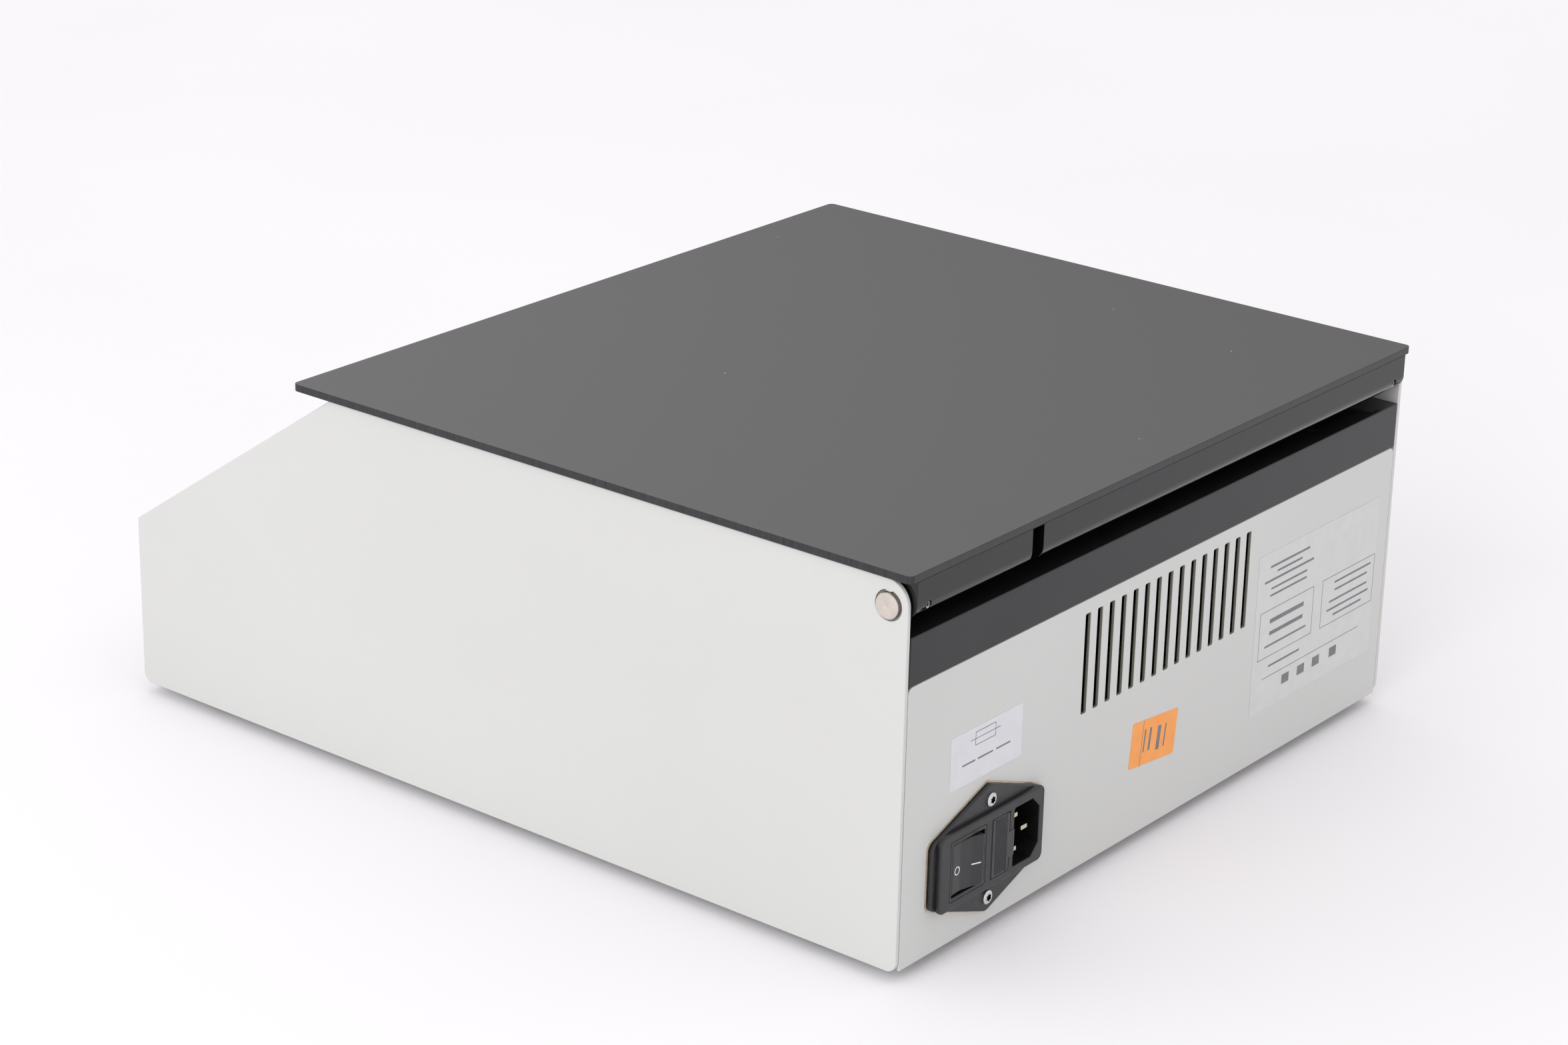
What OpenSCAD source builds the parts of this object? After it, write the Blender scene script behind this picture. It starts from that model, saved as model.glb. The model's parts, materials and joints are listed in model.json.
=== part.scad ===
// Benchtop microplate incubator shaker, seen with +Y to its rear and -Y to the user.
// The origin is the centre of the footprint, on the surface that the feet stand on.

/* [Case] */
// Outside width over both side panels
body_w = 340; // [300:1:420]
// Depth of the side panels, front to rear
body_d = 400; // [375:1:480]
// Height of the side panels at the rear
body_h = 153; // [145:1:190]
// Height of the side panels at the front edge
front_h = 74; // [60:1:95]
// How far back the sloped top edge runs
slope_d = 115.5; // [100:0.5:125]
// Thickness of the side panels
panel_t = 2; // [1.5:0.1:3]
// Thickness of the other sheet metal
sheet_t = 2; // [1.5:0.1:2.5]
// Radius of the side panels' upper rear corner
rear_corner_r = 10; // [6:0.5:10]
// Radius of the side panels' lower corners
low_corner_r = 4.5; // [2:0.5:8]
// Gap left between sheets that meet
seam = 0.3; // [0.2:0.05:0.6]
// Width of the flanges folded inwards along the bottom
flange_w = 12; // [10:1:18]

/* [Feet] */
// Clear height under the side panels
foot_h = 5; // [3:0.5:12]
// Radius of a foot
foot_r = 9; // [6:0.5:14]
// Distance from the case's sides to the feet
foot_inset = 34; // [24:1:60]

/* [Rear panel] */
// Thickness of the rear panel's sheet
rear_t = 1.2; // [1:0.1:2]
// Height of the deck's upper face over the side panels' lower edge
deck_z = 131.5; // [125:0.5:135]
// Height of the black rear flange of the deck
strip_h = 19.2; // [12:0.1:24]
// Number of vent slots
vent_n = 15; // [5:1:21]
// Distance between vent slots
vent_pitch = 8; // [6:0.1:9]
// Width of one vent slot
vent_w = 3.2; // [2:0.1:4]
// Height of one vent slot
vent_h = 41; // [20:1:45]
// Height of the slots' middle
vent_z = 86; // [80:0.5:88]

/* [Lid] */
// Thickness of the lid plate
lid_t = 3; // [2:0.1:5]
// Depth of the lid plate, front to rear
lid_d = 305.5; // [304:0.5:310]
// How far the lid plate passes each side panel
lid_side_over = 1.5; // [0:0.1:4]
// How far the lid plate passes the rear panel
lid_rear_over = 2; // [1:0.1:3]
// Gap between the side panels and the lid plate
lid_gap = 0.3; // [0.3:0.1:1]
// Depth of the hinge rail
rail_d = 20; // [17:0.5:24]
// Height of the hinge rail
rail_h = 15; // [14:0.5:15.5]
// Radius of the hinge rail's lower rear edge
rail_r = 6; // [4:0.5:7]
// Width of the notch through the hinge rail
notch_w = 7; // [4:0.5:12]
// Place of the notch across the width
notch_x = 94.5; // [60:0.5:120]

/* [Hinge] */
// Distance of the hinge axis in front of the rear panel
hinge_in = 8.6; // [8:0.1:10]
// Depth of the hinge axis under the side panels' upper edge
hinge_drop = 10.4; // [10.2:0.1:11]
// Radius of the pin's journal
journal_r = 5; // [4:0.1:5]
// Radius of the pin's shank, inside the rail
shank_r = 3; // [2:0.1:3]
// Length of the pin's shank
shank_l = 22; // [14:1:40]
// How far the pin stands out of the side panel
pin_proud = 1.3; // [0.5:0.1:3]
// Radial clearance of parts that turn
run_fit = 0.05; // [0.02:0.01:0.1]
// Radius of the keyed hole in the side panel
key_hole_r = 5.9; // [5.6:0.1:7]

/* [Chamber] */
// Inside width of the heated chamber
tub_w = 288; // [286:1:296]
// Inside depth of the heated chamber
tub_d = 206; // [200:1:212]
// Height of the chamber's floor over the side panels' lower edge
tub_floor_z = 90; // [89:0.5:92]
// Distance from the rear panel to the chamber's middle
tub_in = 154; // [150:1:158]
// Wall of the chamber
tub_t = 2; // [1:0.1:2]
// Thickness of the foam round the chamber
foam_t = 8; // [5:0.5:8]
// Radius of the chamber's upright corners
tub_r = 8; // [4:0.5:12]

/* [Shaker] */
// Radius of the circle that the plates are shaken on
orbit_r = 1.5; // [1:0.1:2]
// Width of the shaken table
table_w = 272; // [268:1:276]
// Depth of the shaken table
table_d = 188; // [184:1:190]
// Thickness of the shaken table
table_t = 8; // [7.5:0.5:9]
// Height of the table's underside over the side panels' lower edge
table_z = 97; // [96:0.5:98]
// Length of a microplate's footprint
plate_l = 127.76; // [127:0.01:128.5]
// Width of a microplate's footprint
plate_w = 85.48; // [85:0.01:86]
// Clearance round a microplate in its nest
plate_gap = 0.4; // [0.2:0.1:0.6]
// Height of the rims round the nests
rim_h = 4; // [2:0.5:6]
// Distance of the idlers from the drive shaft, across
idler_x = 95; // [90:1:104]
// Distance of the idlers from the drive shaft, front to rear
idler_y = 62; // [60:1:66]
// Distance from the drive shaft to the motor
motor_x = 75; // [70:1:80]
// Pitch radius of the large pulley
pulley_r = 40; // [32:1:42]
// Pitch radius of the motor's pulley
pinion_r = 10; // [8:1:12]

/* [Power inlet] */
// Place of the power inlet across the width
inlet_x = 117.6; // [100:0.1:120]
// Height of the power inlet's middle
inlet_z = 32.4; // [32:0.1:40]
// Width of the inlet's flange
inlet_w = 72; // [70:0.5:80]
// Height of the inlet's flange
inlet_h = 54; // [52:0.5:60]
// Width of the raised bezel
bezel_w = 65; // [64:0.5:66]
// Height of the raised bezel
bezel_h = 31; // [30.5:0.5:32]
// Distance between the inlet's two screws
inlet_screw_pitch = 40; // [39:0.1:42]
// Angle between the switch's two positions
rocker_swing = 18; // [12:1:18]

/* [Controls] */
// Width of the control bezel on the slope
bezel_l = 216; // [200:1:240]
// Height of the control bezel, along the slope
bezel_s = 64; // [56:1:80]
// Width of the display window
window_w = 92; // [60:1:100]
// Height of the display window, along the slope
window_s = 34; // [24:1:40]
// Radius of a button
button_r = 6; // [4:0.5:7]
// Distance between the buttons
button_pitch = 20; // [18:1:22]
// Travel of a button
button_travel = 1; // [0.5:0.1:1.2]

/* [Hidden] */
$fn = 48;

// Colours
light_grey = "#E4E4E2";
gloss_black = "#2A2A2D";
dark_plastic = "#3C3C3E";
nickel = "#C8C4BC";
alu = "#B9BCC0";
steel = "#9A9DA2";
rubber = "#1E1E1E";
foam_dark = "#3A3C3F";
board_green = "#2F6B45";
label_white = "#F2F3F5";
label_orange = "#F0A55A";

// Inlet depths, outwards from the rear panel
inlet_plate_t = 0.6;
inlet_flange_t = 1.6;
inlet_bezel_t = 2;
rocker_proud = 2.1;
inlet_out = inlet_plate_t + inlet_flange_t + inlet_bezel_t + rocker_proud;

// Case planes in the part's frame
side_x = body_w / 2;
inner_x = side_x - panel_t;
rear_y = (body_d - inlet_out) / 2;
front_y = rear_y - body_d;
top_z = foot_h + body_h;
deck_top = foot_h + deck_z;
pan_z = foot_h + sheet_t;
pan_top = pan_z + sheet_t;
slope_a = atan2(body_h - front_h, slope_d);
slope_l = norm([body_h - front_h, slope_d]);
fascia_in = 0.5;
fold_y = rear_y - body_d + slope_d - 1.5;

// Lid planes
lid_under = top_z + lid_gap;
lid_rear = rear_y + lid_rear_over;
hinge_y = rear_y - hinge_in;
hinge_z = top_z - hinge_drop;
rail_x = inner_x - 0.7;
set_screw_x = side_x - 10;
set_screw_r = 1.5;
frame_band = 12;
frame_wall = 10;
frame_z = deck_top + 1.6;
liner_t = 1.5;
lid_foam_t = 10;
magnet_y_gap = 8;

// Chamber and drive heights
tub_y = rear_y - tub_in;
tub_floor = foot_h + tub_floor_z;
tub_lip = 8;
tub_top = deck_top - sheet_t;
mat_t = 1.5;
probe_place = [-tub_w / 4, tub_d / 2 - 16];
probe_r = 2;
bridge_z = foot_h + 50;
bridge_t = 4;
bridge_w = 250;
bridge_d = 162;
table_bottom = foot_h + table_z;
table_top = table_bottom + table_t;
nest_t = 6;
nest_floor = table_top + nest_t;
post_r = 6;
post_x = bridge_w / 2 - 9;
post_y = bridge_d / 2 - 8;

// Shafts and bearings: outer radius, bore radius and width
big_ring = [14, 6, 8];
small_ring = [11, 4, 7];
idler_crank_z = bridge_z + bridge_t + 25;
crank_web_t = 4;
pulley_z = bridge_z + bridge_t + 3;
pulley_t = 10;
belt_w = 8;
belt_t = 1.2;
weight_z = pulley_z + pulley_t + 0.5;
weight_t = 7;
crank_pin_z = weight_z + weight_t + 1;
pin_hole_r = small_ring[1] + orbit_r + 2;
idler_places = [for (sx = [-1, 1], sy = [-1, 1]) [sx * idler_x, sy * idler_y]];

// Microplate nests
nest_pitch_x = plate_l + 2 * plate_gap + 5;
nest_pitch_y = plate_w + 2 * plate_gap + 5;
nest_places = [for (sx = [-0.5, 0.5], sy = [-0.5, 0.5]) [sx * nest_pitch_x, sy * nest_pitch_y]];

// Power inlet layout, from the inlet's middle
inlet_face = rear_y + inlet_out - rocker_proud;
flange_face = rear_y + inlet_plate_t + inlet_flange_t;
inlet_side_h = 27;
inlet_depth = 30;
inlet_house_w = bezel_w - 3;
inlet_house_h = bezel_h - 3;
rocker_dx = 15.4;
rocker_well = [19.6, 21.4];
rocker_size = [16.8, 20.4];
rocker_axis_in = 6;
drawer_dx = -4.6;
drawer_size = [10.6, 24];
drawer_depth = 24;
slide_gap = 0.15;
socket_dx = -21.2;
socket_size = [16, 24];
socket_depth = 17;
blade = [4, 2];
blade_places = [[4.3, 7], [4.3, -7], [-2.3, 0]];
blade_in = 2.5;
fuse_r = 2.5;
fuse_l = 20;

// Controls, measured on the slope from its front edge
control_s = slope_l * 0.5;
bezel_t = 1;
window_x = -bezel_l / 2 + window_w / 2 + 12;
button_x = window_x + window_w / 2 + 22;
board_n = -12;
board_t = 1.6;
button_top = 1.6;
button_flange_t = 1.4;
button_flange_n = -fascia_in - sheet_t - 0.1 - button_flange_t;
button_foot = 0.8;
button_gap = 0.3;

// ---------- shared shapes ----------

function unit(v) = v / norm(v);

// Points of a round corner of radius r at b, between a and c
function fillet(a, b, c, r, n) =
    let (
        u = unit(a - b),
        v = unit(c - b),
        half = acos(u * v) / 2,
        mid = b + unit(u + v) * r / sin(half),
        p = b + u * r / tan(half) - mid,
        q = b + v * r / tan(half) - mid,
        start = atan2(p[1], p[0]),
        turn = atan2(q[1], q[0]) - start,
        sweep = turn > 180 ? turn - 360 : (turn < -180 ? turn + 360 : turn)
    )
    [for (i = [0 : n]) mid + r * [cos(start + sweep * i / n), sin(start + sweep * i / n)]];

// A polygon's points with corner i rounded to radii[i]; a radius of 0 keeps the corner sharp
function rounded(points, radii, n = 8) =
    let (k = len(points))
    [for (i = [0 : k - 1])
        each radii[i] > 0
            ? fillet(points[(i + k - 1) % k], points[i], points[(i + 1) % k], radii[i], n)
            : [points[i]]];

function rect_points(w, h) = [[-w / 2, -h / 2], [w / 2, -h / 2], [w / 2, h / 2], [-w / 2, h / 2]];

module rounded_rect(w, h, r) {
    polygon(rounded(rect_points(w, h), [r, r, r, r]));
}

// Extrudes a (Y, Z) outline along X, from x0 over width w
module across(x0, w) {
    translate([x0, 0, 0]) rotate([90, 0, 90]) linear_extrude(w) children();
}

// Extrudes an (X, Z) outline along Y, from y0 to y0 + d
module upright(y0, d) {
    translate([0, y0 + d, 0]) rotate([90, 0, 0]) linear_extrude(d) children();
}

// A cylinder along X that starts at x0
module rod_x(x0, l, r) {
    translate([x0, 0, 0]) rotate([0, 90, 0]) cylinder(h = l, r = r);
}

// A cylinder along +Y that starts at y0
module rod_y(y0, l, r) {
    translate([0, y0, 0]) rotate([-90, 0, 0]) cylinder(h = l, r = r);
}

// Places children in the slope's frame: x across, y up the slope, z out of it
module on_slope(s = 0, n = 0) {
    translate([0, front_y, foot_h + front_h]) rotate([slope_a, 0, 0]) translate([0, s, n]) children();
}

module at_tub(z) {
    translate([0, tub_y, z]) children();
}

module ring(outer, inner, h) {
    difference() {
        cylinder(h = h, r = outer);
        translate([0, 0, -1]) cylinder(h = h + 2, r = inner);
    }
}

module mirrored_x() {
    children();
    mirror([1, 0, 0]) children();
}

// ---------- case ----------

// Outline of a side panel in Y and Z
function side_outline() =
    rounded(
        [[front_y, foot_h], [rear_y, foot_h], [rear_y, top_z], [front_y + slope_d, top_z],
            [front_y, foot_h + front_h]],
        [low_corner_r, low_corner_r, rear_corner_r, 3, 2]);

// Triangular tooth that keys the bush in its hole, in Y and Z from the hinge axis
module hinge_tooth(wide) {
    polygon([[-1.8 - wide, key_hole_r + 1], [-0.8 - wide, journal_r + 0.15],
        [0.8 + wide, journal_r + 0.15], [1.8 + wide, key_hole_r + 1]]);
}

module side_panel() {
    difference() {
        across(inner_x, panel_t) polygon(side_outline());
        translate([0, hinge_y, hinge_z]) rod_x(inner_x - 1, panel_t + 2, key_hole_r);
    }
    translate([0, hinge_y, hinge_z]) across(inner_x, panel_t) intersection() {
        hinge_tooth(0);
        circle(r = key_hole_r + 0.5);
    }
    difference() {
        translate([inner_x - flange_w, front_y + 8, foot_h]) cube([flange_w + 0.5, body_d - 16, sheet_t]);
        case_screw_places() translate([0, 0, foot_h - 1]) cylinder(h = sheet_t + 2, r = 1.6);
    }
}

module side_panel_right() {
    color(light_grey) side_panel();
}

module side_panel_left() {
    color(light_grey) mirror([1, 0, 0]) side_panel();
}

module case_screw_places() {
    for (y = [front_y + 40, front_y + body_d / 2, rear_y - 40])
        translate([inner_x - flange_w / 2, y, 0]) children();
}

module foot_places() {
    for (sx = [-1, 1], y = [front_y + foot_inset, rear_y - foot_inset])
        translate([sx * (side_x - foot_inset), y, 0]) children();
}

module base_pan() {
    color(light_grey) difference() {
        translate([-inner_x + seam, front_y + fascia_in + seam, pan_z])
            cube([2 * (inner_x - seam), body_d - fascia_in - seam - rear_t - seam, sheet_t]);
        foot_places() translate([0, 0, pan_z - 1]) cylinder(h = sheet_t + 2, r = 2.1);
        mirrored_x() case_screw_places() translate([0, 0, pan_z - 1]) cylinder(h = sheet_t + 2, r = 1.3);
    }
}

module feet() {
    color(rubber) foot_places() difference() {
        cylinder(h = pan_z, r1 = foot_r - 1.5, r2 = foot_r, $fn = 48);
        translate([0, 0, -1]) cylinder(h = pan_z - 1, r = 4.5);
        cylinder(h = pan_z + 1, r = 2.1);
    }
}

// Pan-head screws that hold the side panels and the feet
module case_screws() {
    color(steel) {
        mirrored_x() case_screw_places() translate([0, 0, foot_h]) {
            translate([0, 0, -1.8]) difference() {
                cylinder(h = 1.8, r = 2.8);
                translate([0, 0, -1]) cylinder(h = 2, r = 1.2, $fn = 6);
            }
            cylinder(h = 2 * sheet_t + 1, r = 1.25);
        }
        foot_places() {
            translate([0, 0, pan_z - 2]) mirror([0, 0, 1]) difference() {
                cylinder(h = 2.2, r = 3.6);
                translate([0, 0, 1]) cylinder(h = 2, r = 1.6, $fn = 6);
            }
            translate([0, 0, pan_z - 2]) cylinder(h = sheet_t + 3, r = 2);
            translate([0, 0, pan_top]) ring(3.6, 2, 2.4);
        }
    }
}

module rear_panel() {
    panel_h = deck_z - strip_h - seam;
    color(light_grey) difference() {
        union() {
            upright(rear_y - rear_t, rear_t)
                translate([0, foot_h + seam + panel_h / 2])
                polygon(rounded(rect_points(2 * (inner_x - seam), panel_h), [0.5, 0.5, 3, 3]));
            translate([-inner_x + 20, rear_y - rear_t - flange_w, pan_top])
                cube([2 * (inner_x - 20), flange_w + 0.5, rear_t]);
        }
        for (i = [0 : vent_n - 1])
            upright(rear_y - rear_t - 1, rear_t + 2)
                translate([(i - (vent_n - 1) / 2) * vent_pitch, foot_h + vent_z])
                rounded_rect(vent_w, vent_h, 0.6);
        upright(rear_y - 20, 22) translate([inlet_x, foot_h + inlet_z])
            rounded_rect(inlet_house_w + 2 * seam, inlet_house_h + 2 * seam, 1);
        translate([inlet_x, 0, foot_h + inlet_z]) inlet_screw_places() rod_y(rear_y - 10, 12, 1.6);
    }
}

// Sheet fascia: upright front, slope and the fold that drops to the deck
function bend_z(d) = foot_h + front_h - d * (1 - sin(slope_a)) / cos(slope_a);
function slope_z(y, d) = foot_h + front_h + (y - front_y) * tan(slope_a) - d / cos(slope_a);

module front_fascia() {
    inside = fascia_in + sheet_t;
    color(light_grey) difference() {
        union() {
            across(-inner_x + seam, 2 * (inner_x - seam)) polygon([
                [front_y + fascia_in, foot_h + seam], [front_y + fascia_in, bend_z(fascia_in)],
                [fold_y, slope_z(fold_y, fascia_in)], [fold_y, deck_top],
                [fold_y - sheet_t, deck_top], [fold_y - sheet_t, slope_z(fold_y - sheet_t, inside)],
                [front_y + inside, bend_z(inside)], [front_y + inside, foot_h + seam]]);
            translate([-inner_x + 20, front_y + inside - 0.5, pan_top])
                cube([2 * (inner_x - 20), flange_w, sheet_t]);
        }
        translate([-inner_x, front_y + fascia_in + seam, foot_h - 1]) cube([2 * inner_x, 10, pan_top - foot_h + 1]);
        on_slope(control_s, -10) linear_extrude(20) translate([window_x, 0])
            rounded_rect(window_w, window_s, 1);
        button_places() translate([0, 0, -10]) cylinder(h = 20, r = button_r + button_gap);
    }
}

// Black deck with the chamber's opening and the flange that shows at the rear
module deck() {
    deck_front = fold_y - sheet_t;
    color(gloss_black) difference() {
        across(-inner_x + seam, 2 * (inner_x - seam)) polygon([
            [rear_y, deck_top - strip_h], [rear_y, deck_top], [deck_front, deck_top],
            [deck_front, deck_top - sheet_t], [rear_y - sheet_t, deck_top - sheet_t],
            [rear_y - sheet_t, deck_top - strip_h]]);
        at_tub(deck_top - 10) linear_extrude(20) rounded_rect(tub_w, tub_d, tub_r);
    }
}

// ---------- hinge and lid ----------

module hinge_bushes() {
    color(dark_plastic) mirrored_x() translate([0, hinge_y, hinge_z]) difference() {
        rod_x(inner_x + 0.1, panel_t - 0.7, key_hole_r - 0.05);
        rod_x(inner_x - 1, panel_t + 2, journal_r + run_fit);
        across(inner_x - 1, panel_t + 2) hinge_tooth(0.2);
    }
}

// Turned pins: chamfered journal in the bush and a shank clamped in the rail
module hinge_pins() {
    chamfer = 0.5;
    color(nickel) mirrored_x() translate([0, hinge_y, hinge_z]) difference() {
        union() {
            rod_x(rail_x - shank_l, shank_l + 0.5, shank_r);
            rod_x(rail_x + 0.1, side_x + pin_proud - chamfer - rail_x - 0.1, journal_r);
            translate([side_x + pin_proud - chamfer, 0, 0]) rotate([0, 90, 0])
                cylinder(h = chamfer, r1 = journal_r, r2 = journal_r - chamfer, $fn = 48);
        }
        rod_x(side_x + pin_proud - 0.4, 1, 0.7);
    }
}

module set_screws() {
    length = lid_rear_over + hinge_in - shank_r - 0.9;
    color(steel) mirrored_x() translate([set_screw_x, 0, hinge_z]) difference() {
        rod_y(hinge_y + shank_r + 0.05, length, set_screw_r);
        rod_y(hinge_y + shank_r + length - 1.5, 3, 0.8, $fn = 6);
    }
}

module hinge_rail() {
    rail_y = lid_rear - rail_d;
    color(gloss_black) difference() {
        across(-rail_x, 2 * rail_x) polygon(rounded(
            [[rail_y, lid_under - rail_h], [lid_rear, lid_under - rail_h], [lid_rear, lid_under],
                [rail_y, lid_under]],
            [1, rail_r, 0, 0]));
        mirrored_x() translate([0, hinge_y, hinge_z]) rod_x(rail_x - shank_l - 1, shank_l + 2, shank_r + 0.02);
        mirrored_x() translate([set_screw_x, 0, hinge_z]) rod_y(hinge_y, 20, set_screw_r + 0.02);
        translate([notch_x - notch_w / 2, rail_y - 1, lid_under - rail_h - 1])
            cube([notch_w, rail_d + 2, rail_h - 0.2 + 1]);
    }
}

module lid_plate() {
    color(gloss_black) translate([0, lid_rear - lid_d / 2, lid_under]) linear_extrude(lid_t)
        rounded_rect(body_w + 2 * lid_side_over, lid_d, 2.5);
}

// Frame under the lid that closes on the deck round the chamber
module frame_ring(outer, inner, h) {
    linear_extrude(h) difference() {
        rounded_rect(tub_w + 2 * outer, tub_d + 2 * outer, tub_r + outer);
        rounded_rect(tub_w + 2 * inner, tub_d + 2 * inner, tub_r + inner);
    }
}

module lid_frame() {
    color(gloss_black) at_tub(frame_z) frame_ring(frame_band, frame_band - frame_wall, lid_under - frame_z);
}

module lid_seal() {
    color(rubber) at_tub(deck_top + 0.1) frame_ring(frame_band - 2, frame_band - 8, frame_z - deck_top - 0.1);
}

module lid_foam() {
    inset = frame_band - frame_wall - 0.1;
    color(foam_dark) at_tub(lid_under - lid_foam_t) linear_extrude(lid_foam_t)
        rounded_rect(tub_w + 2 * inset, tub_d + 2 * inset, tub_r + inset);
}

module lid_liner() {
    inset = frame_band - frame_wall - 0.1;
    color(alu) at_tub(lid_under - lid_foam_t - liner_t) linear_extrude(liner_t)
        rounded_rect(tub_w + 2 * inset, tub_d + 2 * inset, tub_r + inset);
}

module lid_magnet() {
    color(steel) translate([side_x - 50, tub_y - tub_d / 2 - frame_band - magnet_y_gap, lid_under - 6])
        cylinder(h = 6, r = 4);
}

module lid_sensor() {
    color(dark_plastic) translate([side_x - 50, tub_y - tub_d / 2 - frame_band - magnet_y_gap, tub_top - 5])
        translate([-8, -4, 0]) cube([16, 8, 5]);
}

// ---------- heated chamber ----------

module pin_places() {
    for (p = concat([[0, 0]], idler_places)) translate([p[0], p[1], 0]) children();
}

module chamber_tub() {
    color(alu) at_tub(0) difference() {
        union() {
            translate([0, 0, tub_floor - tub_t]) linear_extrude(tub_top - tub_floor + tub_t)
                rounded_rect(tub_w + 2 * tub_t, tub_d + 2 * tub_t, tub_r + tub_t);
            translate([0, 0, tub_top - tub_t]) linear_extrude(tub_t)
                rounded_rect(tub_w + 2 * tub_lip, tub_d + 2 * tub_lip, tub_r + tub_lip);
        }
        translate([0, 0, tub_floor]) linear_extrude(tub_top)
            rounded_rect(tub_w, tub_d, tub_r);
        pin_places() translate([0, 0, tub_floor - 10]) cylinder(h = 20, r = pin_hole_r);
        translate([probe_place[0], probe_place[1], tub_floor - 10]) cylinder(h = 20, r = probe_r);
    }
}

module heater_mat() {
    color("#B5523A") at_tub(tub_floor - tub_t - mat_t) difference() {
        linear_extrude(mat_t) rounded_rect(tub_w - 8, tub_d - 8, tub_r);
        pin_places() translate([0, 0, -1]) cylinder(h = mat_t + 2, r = pin_hole_r + 1);
        translate([probe_place[0], probe_place[1], -1]) cylinder(h = mat_t + 2, r = 2 * probe_r);
    }
}

// Foam that wraps the chamber's floor and walls
module chamber_foam() {
    bottom = tub_floor - tub_t - mat_t - foam_t;
    color(foam_dark) at_tub(0) difference() {
        translate([0, 0, bottom]) linear_extrude(tub_top - tub_t - bottom)
            rounded_rect(tub_w + 2 * (tub_t + foam_t), tub_d + 2 * (tub_t + foam_t), tub_r + tub_t);
        translate([0, 0, bottom + foam_t]) linear_extrude(tub_top)
            rounded_rect(tub_w + 2 * tub_t + 0.2, tub_d + 2 * tub_t + 0.2, tub_r + tub_t);
        pin_places() translate([0, 0, bottom - 1]) cylinder(h = foam_t + 2, r = pin_hole_r + 1);
        translate([probe_place[0], probe_place[1], bottom - 1]) cylinder(h = foam_t + 2, r = 2 * probe_r);
    }
}

module temperature_probe() {
    stem_l = tub_t + 12;
    color(nickel) at_tub(tub_floor - stem_l) translate([probe_place[0], probe_place[1], 0]) {
        cylinder(h = stem_l, r = probe_r - 0.1);
        translate([0, 0, stem_l]) cylinder(h = 4, r = probe_r + 1);
    }
}

// ---------- shaker drive ----------

module drive_bridge() {
    color(alu) at_tub(0) difference() {
        union() {
            translate([0, 0, bridge_z]) linear_extrude(bridge_t) rounded_rect(bridge_w, bridge_d, 10);
            translate([0, 0, bridge_z - 18]) cylinder(h = 18 + bridge_t, r = big_ring[0] + 4);
        }
        translate([0, 0, bridge_z - 20]) cylinder(h = 40, r = big_ring[0] + 0.02);
        for (p = idler_places) translate([p[0], p[1], bridge_z - 1]) cylinder(h = 10, r = small_ring[0] - 1);
        translate([motor_x, 0, bridge_z - 1]) cylinder(h = 10, r = 11.2);
        for (sx = [-1, 1], sy = [-1, 1])
            translate([sx * post_x, sy * post_y, bridge_z - 1]) cylinder(h = 10, r = 2.1);
    }
}

module bridge_posts() {
    color(steel) at_tub(0) for (sx = [-1, 1], sy = [-1, 1]) translate([sx * post_x, sy * post_y, 0]) {
        translate([0, 0, pan_top]) cylinder(h = bridge_z - pan_top, r = post_r);
        translate([0, 0, bridge_z - 0.5]) cylinder(h = bridge_t + 0.5, r = 2);
        translate([0, 0, bridge_z + bridge_t]) cylinder(h = 2.5, r = 3.5);
    }
}

module idler_housings() {
    top = idler_crank_z - 1;
    color(alu) at_tub(0) for (p = idler_places) translate([p[0], p[1], bridge_z + bridge_t])
        difference() {
            cylinder(h = top - bridge_z - bridge_t, r = small_ring[0] + 3);
            translate([0, 0, -1]) cylinder(h = 40, r = small_ring[0] + 0.02);
        }
}

module fixed_bearings() {
    color(steel) at_tub(0) {
        for (z = [bridge_z - 17.5, bridge_z + bridge_t - big_ring[2]])
            translate([0, 0, z]) ring(big_ring[0], big_ring[1] + run_fit, big_ring[2]);
        for (p = idler_places, z = [bridge_z + bridge_t + 0.2, idler_crank_z - 1 - small_ring[2]])
            translate([p[0], p[1], z]) ring(small_ring[0], small_ring[1] + run_fit, small_ring[2]);
    }
}

// Main shaft with its eccentric pin, which carries the table
module drive_shaft() {
    color(steel) at_tub(0) {
        translate([0, 0, bridge_z - 20]) cylinder(h = crank_pin_z - bridge_z + 20, r = big_ring[1]);
        translate([orbit_r, 0, crank_pin_z]) cylinder(h = table_top - crank_pin_z - 0.5, r = small_ring[1]);
    }
}

module main_pulley() {
    flange = 1;
    color(steel) at_tub(pulley_z) difference() {
        union() {
            cylinder(h = pulley_t, r = pulley_r - 0.1);
            cylinder(h = flange - 0.1, r = pulley_r + 2);
            translate([0, 0, pulley_t - flange + 0.1]) cylinder(h = flange - 0.1, r = pulley_r + 2);
        }
        translate([0, 0, -1]) cylinder(h = pulley_t + 2, r = big_ring[1] + 0.02);
    }
}

// Half disc opposite the eccentric pin, clamped on the shaft
module counterweight() {
    color(steel) at_tub(weight_z) difference() {
        union() {
            intersection() {
                cylinder(h = weight_t, r = 34);
                translate([-40, -40, 0]) cube([40, 80, weight_t]);
            }
            cylinder(h = weight_t, r = 11);
        }
        translate([0, 0, -1]) cylinder(h = weight_t + 2, r = big_ring[1] + 0.02);
    }
}

module drive_motor() {
    color(dark_plastic) at_tub(0) translate([motor_x, 0, 0]) {
        translate([0, 0, bridge_z - 40]) difference() {
            linear_extrude(40) rounded_rect(42, 42, 5);
            translate([0, 0, 20]) cylinder(h = 30, r = 3.6);
        }
        translate([0, 0, bridge_z - 0.2]) ring(11, 3.6, 2.2);
    }
}

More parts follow.
